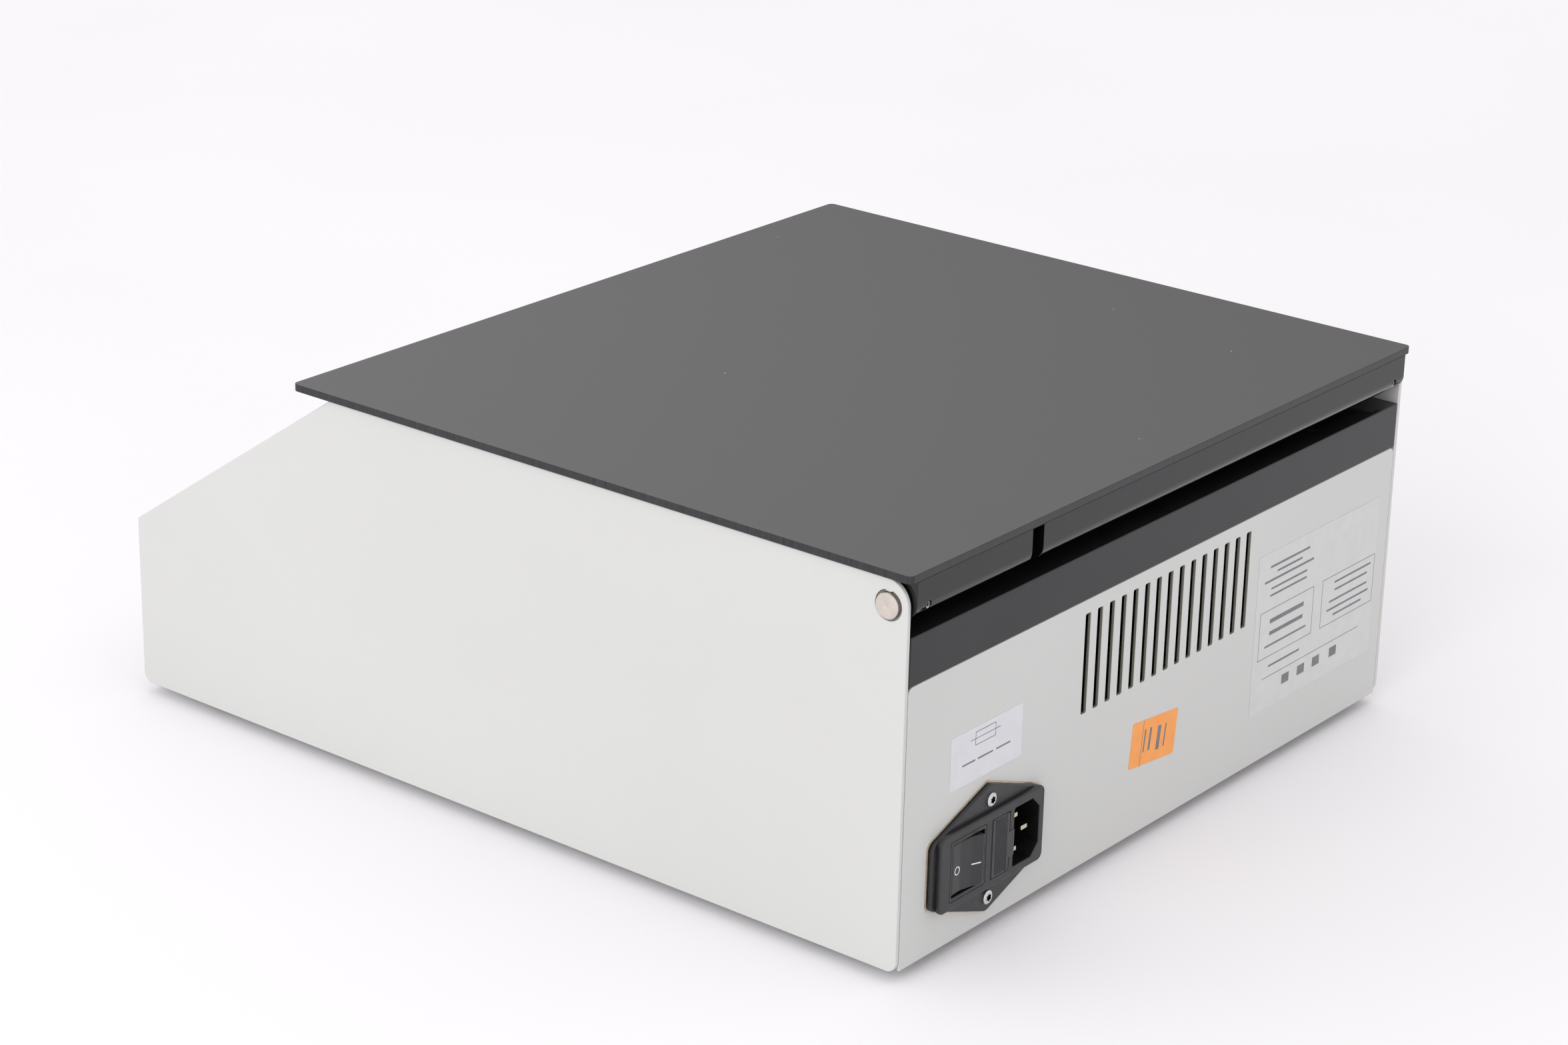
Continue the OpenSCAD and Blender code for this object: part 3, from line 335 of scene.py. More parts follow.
board = new_material("circuit_board_green", Roughness=0.35)
tree, shader, coords = parts_of(board)
tracks = add(tree, "TexBrick", {
    "Vector": coords, "Scale": 1 / TRACK_GRID, "Color1": srgb("1E5434"), "Color2": srgb("246040"),
    "Mortar": srgb("3C8358"), "Mortar Size": 0.03})
tree.links.new(tracks.outputs[0], shader.inputs["Base Color"])
print("made the soft and printed finishes")

# %% [markdown]
# Glass. The display window is smoked and slightly frosted from wiping, and the fuses are clear
# tubes. Both let light through by transmission. The display behind the window is plain grey.

# %% Glass
window_glass = new_material(
    "smoked_display_glass", Roughness=0.06, IOR=1.5, Transmission_Weight=0.55)
mottle(window_glass, 30 * MM, "5D6C70", "66767A")
rough(window_glass, 10 * MM, 0.04, 0.1)
fuse_glass = new_material(
    "clear_fuse_glass", Roughness=0.03, IOR=1.5, Transmission_Weight=0.9)
mottle(fuse_glass, 5 * MM, "DDE3E1", "EEF2F0")
lcd_grey = moulded("reflective_lcd_grey", "8C978C", "949F93", 20 * MM, 0.3)
print("made the glass")

# %% [markdown]
# The record names a material slot for each part. One table gives each slot its finish, and every
# part of the frame gets it, so nothing is left in plain grey if it isn't redrawn below.

# %% Finish of each slot, on the frame's own parts
FINISH = {
    "case_paint": case_paint, "deck_paint": deck_enamel, "lid_acrylic": lid_acrylic,
    "rail_acrylic": rail_acrylic, "frame_plastic": frame_plastic, "inlet_plastic": inlet_plastic,
    "nickel": nickel_plate, "steel": turned_steel, "aluminium": rolled_aluminium,
    "nest_anodised": nest_anodised, "rubber": rubber, "silicone": silicone,
    "heater_silicone": heater_skin, "foam": foam, "motor_paint": frame_plastic, "board": board,
    "fuse_glass": fuse_glass, "display_glass": window_glass, "display_dark": lcd_grey,
    "button_green": green_cap, "button_red": red_cap, "button_grey": grey_cap, "label": paper_white,
}
slot_of = {part["node"]: part["material_slot"] for part in frame["record"]["subparts"]}
body_of = {n: body for body, names in frame["record"]["behaviour"]["bodies"].items() for n in names}
for name, piece in frame["nodes"].items():
    if not piece.data.materials:
        piece.data.materials.append(None)
    for used in piece.material_slots:
        used.material = FINISH[slot_of[name]]
print("finished", len(frame["nodes"]), "parts of the frame")

# %% [markdown]
# ## Shapes
# Visible panels get edges that catch the light. A real sheet or moulding never ends in a knife
# edge: paint and punching round it by a few tenths of a millimetre. The main shape here is a
# *plate*: an outline with holes, thickened, whose rim follows a quarter circle at each face.

# %% Outlines
def round_corners(corners, radii, steps=8):
    """Turns each corner into an arc that touches both of its sides. The arc's centre lies on the
    corner's bisector, at the radius over the sine of half the corner's angle."""
    made = []
    for k, r in enumerate(radii):
        before, here, after = (np.array(corners[(k + d) % len(corners)], float) for d in (-1, 0, 1))
        if r <= 0:
            made.append(here[None])
            continue
        u, v = ((p - here) / np.linalg.norm(p - here) for p in (before, after))
        half = math.acos(u @ v) / 2
        centre = here + (u + v) / np.linalg.norm(u + v) * r / math.sin(half)
        first, last = (here + w * r / math.tan(half) - centre for w in (u, v))
        start = math.atan2(first[1], first[0])
        sweep = (math.atan2(last[1], last[0]) - start + math.pi) % (2 * math.pi) - math.pi
        angle = start + sweep * np.linspace(0, 1, steps + 1)
        made.append(centre + r * np.stack([np.cos(angle), np.sin(angle)], 1))
    return np.concatenate(made)


def rectangle(width, height, radius, centre=(0, 0), steps=8):
    """A rectangle about a centre, anticlockwise, with four corners of one radius."""
    w, h = width / 2, height / 2
    corners = [(-w, -h), (w, -h), (w, h), (-w, h)]
    return round_corners(corners, [radius] * 4, steps) + np.array(centre)


def offset_inwards(loop, distance):
    """Moves each point along its two edges' mean left-hand normal, so that both edges move by the
    distance. An anticlockwise outline shrinks and a clockwise hole grows."""
    edge = np.roll(loop, -1, 0) - loop
    edge = edge / np.linalg.norm(edge, axis=1)[:, None]
    left = np.stack([-edge[:, 1], edge[:, 0]], 1)
    before = np.roll(left, 1, 0)
    return loop + distance * (left + before) / (1 + (left * before).sum(1))[:, None]


print("outlines ready")

# %% [markdown]
# A part of a mesh is three things: its points, its faces, and a kind for each face, which is flat,
# outer rim or hole wall. The kind later picks the face's material. A plate and a turned part both
# come from one grid of closed rings.

# %% Plates and turned parts
FLAT, RIM, HOLE = 0, 1, 2


def grid_faces(rows, sides, first=0):
    """Quads between closed rings of points: ring j's point i has the number j times sides plus i."""
    j, i = np.meshgrid(np.arange(rows - 1), np.arange(sides), indexing="ij")
    i, j = i.ravel(), j.ravel() * sides
    step = (i + 1) % sides
    quads = first + np.stack([j + i, j + step, j + sides + step, j + sides + i], 1)
    return [tuple(quad) for quad in quads.tolist()]


def cap_faces(loops, starts, upward):
    """Fills an outline with holes by triangles, all facing up or all facing down."""
    flat = [[Vector((x, y, 0)) for x, y in loop] for loop in loops]
    index = np.concatenate([s + np.arange(len(loop)) for s, loop in zip(starts, loops)])
    points = np.concatenate(loops)
    tri = np.array(tessellate_polygon(flat))
    a, b, c = (points[tri[:, k]] for k in range(3))
    area = (b[:, 0] - a[:, 0]) * (c[:, 1] - a[:, 1]) - (b[:, 1] - a[:, 1]) * (c[:, 0] - a[:, 0])
    turned = (area > 0) != upward
    tri[turned] = tri[turned][:, ::-1]
    return [tuple(int(i) for i in t) for t in index[tri[np.abs(area) > 0]]]


def plate(loops, thickness, radii, steps=3):
    """An outline and its holes, thickened. Round each loop runs a grid: one way along the loop,
    the other way over the rim, where inset is r(1 - sin a) and height is r(1 - cos a) for a
    quarter turn at the lower face, and the same mirrored at the upper face."""
    angle = np.linspace(0, np.pi / 2, steps + 1)
    points, faces, rim, low_ring, high_ring, low, high = [], [], [], [], [], [], []
    count = 0
    for k, (loop, radius) in enumerate(zip(loops, radii)):
        area = (loop[:, 0] * np.roll(loop[:, 1], -1) - loop[:, 1] * np.roll(loop[:, 0], -1)).sum()
        loop = loop if (area > 0) == (k == 0) else loop[::-1]
        inset = radius * (1 - np.sin(angle))
        rise = radius * (1 - np.cos(angle))
        insets = np.concatenate([inset, inset[::-1]])
        heights = np.concatenate([rise, thickness - rise[::-1]])
        rings = [offset_inwards(loop, d) for d in insets]
        n, m = len(loop), len(insets)
        points += [np.column_stack([ring, np.full(n, h)]) for ring, h in zip(rings, heights)]
        faces += grid_faces(m, n, count)
        rim += [RIM if k == 0 else HOLE] * ((m - 1) * n)
        low.append(rings[0])
        high.append(rings[-1])
        low_ring.append(count)
        high_ring.append(count + (m - 1) * n)
        count += n * m
    for ends, rings, upward in ((low, low_ring, False), (high, high_ring, True)):
        cap = cap_faces(ends, rings, upward)
        faces += cap
        rim += [FLAT] * len(cap)
    return np.concatenate(points), faces, rim


def place(part, origin, u, v):
    """Puts a part that was drawn flat into the frame: u and v are where its X and Y point, and its
    height goes along their cross product."""
    points, faces, rim = part
    x, y, z = points[:, :1], points[:, 1:2], points[:, 2:]
    return np.array(origin) + x * u + y * v + z * np.cross(u, v), faces, rim


def lathe(profile, sides=48):
    """Turns a profile of (radius, height) points about the height axis, as a grid of angle by
    profile, and closes both ends with a flat face."""
    radius, height = np.array(profile, float).T
    angle = np.linspace(0, 2 * np.pi, sides, endpoint=False)
    points = np.stack([radius[:, None] * np.cos(angle), radius[:, None] * np.sin(angle),
                       np.repeat(height[:, None], sides, 1)], 2).reshape(-1, 3)
    faces = grid_faces(len(radius), sides)
    faces.append(tuple(range(sides - 1, -1, -1)))
    faces.append(tuple(range(len(points) - sides, len(points))))
    return points, faces, [RIM] * (len(faces) - 2) + [FLAT, FLAT]


print("plates and turned parts ready")

# %% [markdown]
# A piece is one object. It is put on the body that it moves with, gets its finish and hides the
# parts of the frame that it stands for. What shows most is built from parts. The rest is the
# frame's own shape, copied and given a narrow bevel.

# %% Making pieces
def even_shading(piece):
    """Weighs each corner's normal by its faces' areas, so that a flat face shades flat and the
    narrow rim beside it takes up the whole turn."""
    weigh = piece.modifiers.new("even_shading", "WEIGHTED_NORMAL")
    weigh.keep_sharp = True
    weigh.weight = 80


EDGE_ANGLE = 40  # a sharper turn than this, in degrees, is an edge


def add_piece(name, mesh, sharp_from, body, stands_for=()):
    """Puts a mesh in the scene, smooth but for the edges past an angle in degrees, on the body that
    it moves with, and hides the parts of the frame that it stands for."""
    mesh.polygons.foreach_set("use_smooth", np.ones(len(mesh.polygons), bool))
    mesh.set_sharp_from_angle(angle=math.radians(sharp_from))
    piece = bpy.data.objects.new(name, mesh)
    bpy.context.scene.collection.objects.link(piece)
    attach(piece, body)
    if stands_for:
        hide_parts(*stands_for)
    return piece


def build(name, parts, body, finish, rim_finish=None, hole_finish=None, stands_for=()):
    """Joins parts into one piece with a finish for each kind of face."""
    points, faces, rim, count = [], [], [], 0
    for part_points, part_faces, part_rim in parts:
        points.append(part_points)
        faces += [tuple(count + i for i in face) for face in part_faces]
        rim += part_rim
        count += len(part_points)
    mesh = bpy.data.meshes.new(name)
    mesh.from_pydata(np.concatenate(points).tolist(), [], faces)
    for used in (finish, rim_finish or finish, hole_finish or finish):
        mesh.materials.append(used)
    mesh.polygons.foreach_set("material_index", np.array(rim, np.int32))
    mesh.update()
    piece = add_piece(name, mesh, 50, body, stands_for)
    even_shading(piece)
    print("built", name, len(mesh.vertices), "points")
    return piece


def softened(node, width, segments=2, finish=None):
    """Copies a part of the frame, welds its triangles into whole faces and bevels its sharp
    edges to the given width."""
    shape = bmesh.new()
    shape.from_mesh(frame["nodes"][node].data)
    bmesh.ops.remove_doubles(shape, verts=shape.verts, dist=0.001 * MM)
    bmesh.ops.dissolve_limit(shape, angle_limit=math.radians(0.5), verts=shape.verts,
                             edges=shape.edges)
    mesh = bpy.data.meshes.new(node + "_edged")
    shape.to_mesh(mesh)
    shape.free()
    mesh.materials.clear()
    mesh.materials.append(finish or FINISH[slot_of[node]])
    piece = add_piece(node + "_edged", mesh, EDGE_ANGLE, body_of[node], [node])
    bevel = piece.modifiers.new("edges", "BEVEL")
    bevel.width = width
    bevel.segments = segments
    bevel.limit_method = "ANGLE"
    bevel.angle_limit = math.radians(EDGE_ANGLE)
    bevel.use_clamp_overlap = True
    even_shading(piece)
    return piece


def soften_all(widths, segments=2):
    """Softens several parts of the frame, each with its own edge width in millimetres."""
    for node, width in widths.items():
        softened(node, width * MM, segments)
    print("softened", ", ".join(widths))


print("builders ready")

# %% [markdown]
# ## Case
# The two side panels are flat sheet with a long slope to the front. Their upper rear corner is
# rounded about the hinge, and a keyed hole there takes the hinge bush: a small tooth stands into
# it from above. One outline serves both sides.

# %% Side panels
FRONT_H = 74 * MM
SLOPE_D = 115.5 * MM
SHEET = 2 * MM
FLANGE = 12 * MM
side_lo, side_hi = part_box("side_panel_right")
FRONT, REAR, BASE, TOP = side_lo.y, side_hi.y, side_lo.z, side_hi.z
SIDE, INNER = side_hi.x, side_hi.x - SHEET
side_outline = round_corners(
    [(FRONT, BASE), (REAR, BASE), (REAR, TOP), (FRONT + SLOPE_D, TOP), (FRONT, BASE + FRONT_H)],
    [4.5 * MM, 4.5 * MM, 10 * MM, 3 * MM, 2 * MM], steps=16)
HOLE_R, TOOTH_R = 5.9 * MM, 5.15 * MM
TOOTH_ROOT, TOOTH_TIP = 1.8 * MM, 0.8 * MM  # half widths
tooth_half = math.asin(TOOTH_ROOT / HOLE_R)
turn = np.linspace(math.pi / 2 + tooth_half, 2.5 * math.pi - tooth_half, 48)
key_hole = np.concatenate([
    HOLE_R * np.stack([np.cos(turn), np.sin(turn)], 1),
    [(TOOTH_TIP, TOOTH_R), (-TOOTH_TIP, TOOTH_R)]]) + (HINGE.y, HINGE.z)
for side, x, sign in (("right", INNER, 1), ("left", -SIDE, -1)):
    sheet = place(plate([side_outline, key_hole], SHEET, [0.45 * MM, 0.25 * MM]), x * X, Y, Z)
    edge_x = sign * (INNER - FLANGE / 2)
    strip = rectangle(FLANGE, REAR - FRONT - 16 * MM, 1 * MM, (edge_x, (FRONT + REAR) / 2))
    flange = place(plate([strip], SHEET, [0.3 * MM]), BASE * Z, X, Y)
    build(f"side_panel_{side}_sheet", [sheet, flange], "case", case_paint,
          stands_for=[f"side_panel_{side}"])

# %% [markdown]
# The rear panel is one sheet between the sides. Its 15 slots let the warm air out. Punched slots
# have a faint radius in their corners and on their edges, and seen at a slant each slot shows its
# own wall, so the sheet has to be its true 1.2 mm thick. The walls have the panel's own coat; their
# darker grey is painted shade, for the light that hardly reaches inside a slot.

# %% Rear panel
REAR_T = 1.2 * MM
# painted shade: the slot walls have the panel's coat, drawn in a darker grey for the shade inside
painted_vent_wall_shade = powder_coat("vent_walls_painted_shade", "74746A", "7E7E74")
VENT_N, VENT_PITCH, VENT_W, VENT_H, VENT_Z = 15, 8 * MM, 3.2 * MM, 41 * MM, 86 * MM
rear_lo, rear_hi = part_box("rear_panel")
socket_lo, socket_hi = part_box("inlet_plate")
INLET_X, INLET_Z = (socket_lo.x + socket_hi.x) / 2, (socket_lo.z + socket_hi.z) / 2
w, h = rear_hi.x - rear_lo.x, rear_hi.z - rear_lo.z
rear_outline = round_corners(
    [(-w / 2, -h / 2), (w / 2, -h / 2), (w / 2, h / 2), (-w / 2, h / 2)],
    [0.5 * MM, 0.5 * MM, 3 * MM, 3 * MM]) + (0, rear_lo.z + h / 2)
rear_loops = [rear_outline]
for k in range(VENT_N):
    at = ((k - (VENT_N - 1) / 2) * VENT_PITCH, BASE + VENT_Z)
    rear_loops.append(rectangle(VENT_W, VENT_H, 0.6 * MM, at, steps=4))
rear_loops.append(rectangle(62.6 * MM, 28.6 * MM, 1 * MM, (INLET_X, INLET_Z)))  # the inlet's
rear_radii = [0.35 * MM] + [0.15 * MM] * VENT_N + [0.15 * MM]
rear_sheet = place(plate(rear_loops, REAR_T, rear_radii), REAR * Y, X, Z)
fold = rectangle(w - 36 * MM, FLANGE, 1 * MM, (0, REAR - REAR_T - FLANGE / 2))
rear_fold = place(plate([fold], REAR_T, [0.3 * MM]), (BASE + 2 * SHEET) * Z, X, Y)
build("rear_panel_sheet", [rear_sheet, rear_fold], "case", case_paint,
      hole_finish=painted_vent_wall_shade, stands_for=["rear_panel"])

# %% [markdown]
# The front sheet, the deck and the base pan stay folded sheet as the frame has them. They only need
# their edges broken, so they are copies of the frame's own parts with a narrow bevel.

# %% Front sheet, deck, base pan and feet
soften_all({"front_fascia": 0.35, "deck": 0.4, "base_pan": 0.3, "feet": 0.6, "case_screws": 0.25})

# %% [markdown]
# ## Lid and hinge
# The lid is one sawn sheet of black acrylic, 3 mm thick, and it overhangs the case by a little on
# every side. A saw and a scraper leave an edge radius of about a quarter of a millimetre. That
# bright hairline all round is what makes it read as a sheet.

# %% Lid plate
lid_lo, lid_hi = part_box("lid_plate")
LID_T = lid_hi.z - lid_lo.z
lid_middle = (0, (lid_lo.y + lid_hi.y) / 2)
lid_outline = rectangle(lid_hi.x - lid_lo.x, lid_hi.y - lid_lo.y, 2.5 * MM, lid_middle, steps=12)
lid_sheet = place(plate([lid_outline], LID_T, [0.22 * MM]), lid_lo.z * Z, X, Y)
build("lid_sheet", [lid_sheet], "lid", lid_acrylic, sawn_acrylic,
      stands_for=["lid_plate"])

# %% [markdown]
# A bar of the same acrylic is glued under the rear edge, and the hinge pins are clamped in its
# ends. Its lower rear corner is a wide quarter round, polished, which carries one long highlight.
# A notch divides it, so it is made as one profile in two lengths, joined by the glue film.

# %% Hinge rail
rail_lo, rail_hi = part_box("hinge_rail")
NOTCH_X, NOTCH_W, RAIL_R, FILM_T = 94.5 * MM, 7 * MM, 6 * MM, 0.2 * MM
rail_corners = [(rail_lo.y, rail_lo.z), (rail_hi.y, rail_lo.z), (rail_hi.y, rail_hi.z),
                (rail_lo.y, rail_hi.z)]
rail_profile = round_corners(rail_corners, [1 * MM, RAIL_R, 0.2 * MM, 0.2 * MM], steps=20)
rail_parts = []
for start, end in ((rail_lo.x, NOTCH_X - NOTCH_W / 2), (NOTCH_X + NOTCH_W / 2, rail_hi.x)):
    rail_parts.append(place(plate([rail_profile], end - start, [0.2 * MM]), start * X, Y, Z))
film = rectangle(NOTCH_W, rail_hi.y - rail_lo.y - 0.4 * MM, 0.1 * MM,
                 (NOTCH_X, (rail_lo.y + rail_hi.y) / 2))
rail_parts.append(place(plate([film], FILM_T, [0.02 * MM]), (rail_hi.z - FILM_T) * Z, X, Y))
rail = build("hinge_rail_bar", rail_parts, "lid", rail_acrylic,
             stands_for=["hinge_rail"])

# %% [markdown]
# A set screw in each end of the bar clamps its pin. The bores are drilled from the rear face and
# lightly countersunk. A drilled hole is the one thing a swept profile can't hold, so a turned
# cutter is subtracted, and the result is kept as the bar's own mesh.

# %% Set screw bores
SCREW_IN, SCREW_R = 10 * MM, 1.5 * MM
SINK_R = SCREW_R + 0.5 * MM
bore = [(0.2 * MM, -9 * MM), (SCREW_R, -8.5 * MM), (SCREW_R, -0.3 * MM), (SINK_R, 0.2 * MM),
        (SINK_R, 1 * MM)]
drills = [place(lathe(bore, 32), (x, rail_hi.y, HINGE.z), Z, X)
          for x in (SCREW_IN - SIDE, SIDE - SCREW_IN)]
cutter = build("drills", drills, "lid", rail_acrylic)
cut = rail.modifiers.new("bores", "BOOLEAN")
cut.operation = "DIFFERENCE"
cut.solver = "EXACT"
cut.use_self = True
cut.object = cutter
drilled = bpy.data.meshes.new_from_object(rail.evaluated_get(bpy.context.evaluated_depsgraph_get()))
rail.modifiers.clear()
drilled.set_sharp_from_angle(angle=math.radians(35))
rail.data = drilled
even_shading(rail)
bpy.data.objects.remove(cutter)
softened("set_screws", 0.12 * MM)
print("bar drilled:", len(drilled.polygons), "faces")

# %% [markdown]
# The hinge pins are turned and nickel-plated. Each face has a small chamfer and a centre mark from
# the lathe's tailstock. A pin is a profile carried once round its own axis. It turns in a bush of
# moulded grey acetal.

# %% Hinge pins
CHAMFER, JOURNAL_R, PIN_R, PIN_L = 0.5 * MM, 5 * MM, 3 * MM, 25.4 * MM
tip = hinge_hi.x
rail_end = rail_hi.x + 0.1 * MM
pin_profile = [
    (PIN_R, tip - PIN_L), (PIN_R, rail_end), (JOURNAL_R, rail_end), (JOURNAL_R, tip - CHAMFER),
    (JOURNAL_R - 0.12 * MM, tip - CHAMFER + 0.17 * MM), (JOURNAL_R - CHAMFER, tip),
    (2.5 * MM, tip - 0.02 * MM), (0.9 * MM, tip - 0.03 * MM), (0.7 * MM, tip - 0.1 * MM),
    (0.2 * MM, tip - 0.4 * MM)]
turned = lathe(pin_profile, 96)
pins = [place(turned, (0, HINGE.y, HINGE.z), u, v) for u, v in ((Y, Z), (Z, Y))]
build("hinge_pins_turned", pins, "lid", pin_steel, stands_for=["hinge_pins"])
softened("hinge_bushes", 0.12 * MM, finish=acetal_grey)

# %% [markdown]
# Under the plate hang the frame, a soft seal, the insulating foam and its liner. They only show
# when the lid is up. The foam is stiff closed-cell board.

# %% Under the lid
soften_all({"lid_frame": 0.8, "lid_seal": 0.4, "lid_liner": 0.3, "lid_magnet": 0.3,
            "lid_sensor": 0.4})
softened("lid_foam", 0.6 * MM)

# %% [markdown]
# ## Mains inlet
# A six-sided moulded flange carries a raised block with the rocker switch, the fuse drawer and the
# socket in it. A thin nickel-plated spring plate shows as a bright line round the flange. All of
# it is drawn flat, seen from behind, as outlines with holes. Moulded edges are clearly rounder
# than punched ones.

# %% Inlet places and outlines
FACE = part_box("inlet_body")[1].y
FLANGE_T, BEZEL_T = 1.6 * MM, 2 * MM
FLANGE_FACE = FACE - BEZEL_T
ROCKER_DX, DRAWER_DX, SOCKET_DX = 15.4 * MM, -4.6 * MM, -21.2 * MM
INLET_AT = (INLET_X, INLET_Z)


def facing_back(part, y):
    """Places a part that was drawn in X and Z: its first face lies at y and its height goes in."""
    return place(part, y * Y, X, Z)


def flange_outline(inset):
    """The flange's six sides, drawn in by an inset."""
    w, h, side = 36 * MM - inset, 27 * MM - inset, 13.5 * MM - inset / 2
    corners = [(-w, -side), (0, -h), (w, -side), (w, side), (0, h), (-w, side)]
    return round_corners(corners, [4 * MM] * 6, steps=10) + INLET_AT


def socket_hole():
    """The connector's opening: a rectangle on its end with two corners cut off."""
    w, h, cut = 8 * MM, 12 * MM, 4.5 * MM
    corners = [(w, -h), (w, h), (-w + cut, h), (-w, h - cut), (-w, -h + cut), (-w + cut, -h)]
    return round_corners(corners, [0.8 * MM] * 6, steps=4) + INLET_AT + (SOCKET_DX, 0)


def at_inlet(dx, width, height, radius):
    """A rectangle on the inlet's middle line, dx to its side."""
    return rectangle(width, height, radius, (INLET_X + dx, INLET_Z), steps=5)


print("inlet at", [round(v, 4) for v in INLET_AT], "and", round(FACE, 4))

# %% [markdown]
# The moulding is a stack of plates. In front are the flange and the block with its openings, and
# behind them the house goes into the case, with wells of two depths and a closed back. The walls of
# its holes and wells are the same plastic, drawn near black as painted shade.

# %% Flange, raised block and wells
ring = np.linspace(0, 2 * np.pi, 40, endpoint=False)
circle = np.stack([np.cos(ring), np.sin(ring)], 1)
SCREW_DZ = 20 * MM
screw_holes = [1.6 * MM * circle + INLET_AT + (0, side * SCREW_DZ) for side in (-1, 1)]
rocker_well = at_inlet(ROCKER_DX, 19.6 * MM, 21.4 * MM, 0.6 * MM)
switch_hole = at_inlet(ROCKER_DX, 22 * MM, 24.6 * MM, 0.8 * MM)
switch_rim = at_inlet(ROCKER_DX, 21.7 * MM, 24.3 * MM, 0.7 * MM)
drawer_slot = at_inlet(DRAWER_DX - 0.2 * MM, 11.3 * MM, 24.4 * MM, 0.3 * MM)
openings = [rocker_well, drawer_slot, socket_hole()]
block = at_inlet(0, 65 * MM, 31 * MM, 3 * MM)
house = at_inlet(0, 62 * MM, 28 * MM, 1 * MM)
SOCKET_DEPTH, DRAWER_DEPTH, HOUSE_DEPTH = 17 * MM, 25 * MM, 30 * MM
# Each layer: its outline and holes, thickness, edge radii in mm, steps in an edge, first face's y.
LAYERS = [
    ([flange_outline(0.8 * MM), house, *screw_holes], FLANGE_T, (0.55, 0, 0.2, 0.2), 5, FLANGE_FACE),
    ([block, switch_hole, *openings[1:]], BEZEL_T + 0.3 * MM, (0.7, 0.12, 0.12, 0.35), 5, FACE),
    ([switch_rim, rocker_well], BEZEL_T + 0.1 * MM, (0.15, 0.3), 4, FACE),
    ([house, *openings], SOCKET_DEPTH - BEZEL_T, (0.1, 0.1, 0.1, 0.1), 1, FLANGE_FACE),
    ([house, drawer_slot], DRAWER_DEPTH - SOCKET_DEPTH, (0.1, 0.1), 1, FACE - SOCKET_DEPTH),
    ([house], HOUSE_DEPTH - DRAWER_DEPTH, (0.1,), 1, FACE - DRAWER_DEPTH),
]
moulding = [facing_back(plate(loops, thick, [r * MM for r in radii], steps), y)
            for loops, thick, radii, steps, y in LAYERS]
# the walls of the holes and wells take the painted shade
build("inlet_moulding", moulding, "case", inlet_plastic,
      hole_finish=recess_painted_shade, stands_for=["inlet_body"])
softened("inlet_plate", 0.15 * MM, finish=spring_nickel)
softened("inlet_pins", 0.4 * MM, finish=blade_nickel)

# %% [markdown]
# The rocker is a polycarbonate cap on an upright axis. Seen from above, both its ends stand up from
# a shallow middle, and its O end is pressed in. Marks are pad-printed: a ring, and a bar that
# lies on its side, because the whole module is mounted a quarter turn round.

# %% Rocker and its marks
ROCKER_H, AXIS_IN, REST = 20.4 * MM, 6 * MM, math.radians(-9)
rocker_corners = np.array([(-8.4, -3.2), (-4, -11), (4, -11), (8.4, -3.2), (8.4, 0.9), (7.8, 1.2),
                           (3, 0.1), (-3, 0.1), (-7.8, 1.2), (-8.4, 0.9)]) * MM
rocker_radii = np.array([1, 1, 1, 1, 0.2, 0.5, 6, 6, 0.5, 0.2]) * MM
rocker_shape = round_corners(rocker_corners, rocker_radii, 6)
across = np.array([math.cos(REST), math.sin(REST), 0])
out = np.array([-math.sin(REST), math.cos(REST), 0])
axis_at = np.array([INLET_X + ROCKER_DX, FACE - AXIS_IN, INLET_Z])
cap_at = axis_at + out * (AXIS_IN - 0.4 * MM)
rocker_cap = place(plate([rocker_shape], ROCKER_H, [0.5 * MM], 4),
                   cap_at - ROCKER_H / 2 * Z, across, out)
axle = lathe(np.array([(0.9, -11.3), (1.2, -11), (1.2, 11), (0.9, 11.3)]) * MM)
build("rocker_cap", [rocker_cap, place(axle, axis_at, X, Y)], "rocker",
      rocker_plastic, stands_for=["rocker_switch"])
MARK_Z, MARK_T = -1.0 * MM, 0.08 * MM
slope = math.atan2(1.2 - 0.1, 7.8 - 3)  # of the cap's outer thirds, from its corners
marks = []
for end in (1, -1):
    along = across * math.cos(slope) + end * out * math.sin(slope)
    middle = cap_at + end * across * 4.9 * MM + out * 0.535 * MM + MARK_Z * Z
    normal = np.cross(along, Z)
    if end > 0:
        loops = [1.75 * MM * circle, 1.33 * MM * circle]
    else:
        loops = [rectangle(4.2 * MM, 0.5 * MM, 0.15 * MM)]
    mark = plate(loops, MARK_T, [0.02 * MM] * len(loops), 1)
    marks.append(place(mark, middle - normal * 0.06 * MM, along, Z))
build("rocker_marks", marks, "rocker", mark_white)

# %% [markdown]
# The fuse drawer is a moulded slide with fine upright ribs for the fingernail. A tab on it reaches
# across to the socket's edge: with the plug out, a screwdriver there draws the drawer out, and its
# two fuses come with it.

# %% Fuse drawer
RIB_N, RIB_W, RIB_STEP = 12, 0.34 * MM, 0.68 * MM
drawer_lo, drawer_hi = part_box("fuse_drawer")
slide_loop = at_inlet(DRAWER_DX, 10.6 * MM, 24 * MM, 0.4 * MM)
tab_at = (INLET_X - 11.05 * MM, INLET_Z - 1.4 * MM)
tab_loop = rectangle(4.2 * MM, 10.6 * MM, 0.3 * MM, tab_at, steps=4)
drawer_parts = [facing_back(plate([slide_loop], 2.4 * MM, [0.12 * MM], 3), FACE + 0.05 * MM),
                facing_back(plate([tab_loop], 0.2 * MM, [0.06 * MM], 2), FACE + 0.24 * MM)]
for k in range(RIB_N):
    rib = at_inlet(DRAWER_DX + (k - (RIB_N - 1) / 2) * RIB_STEP, RIB_W, 22.6 * MM, 0.1 * MM)
    drawer_parts.append(facing_back(plate([rib], 0.3 * MM, [0.1 * MM], 2), FACE + 0.2 * MM))
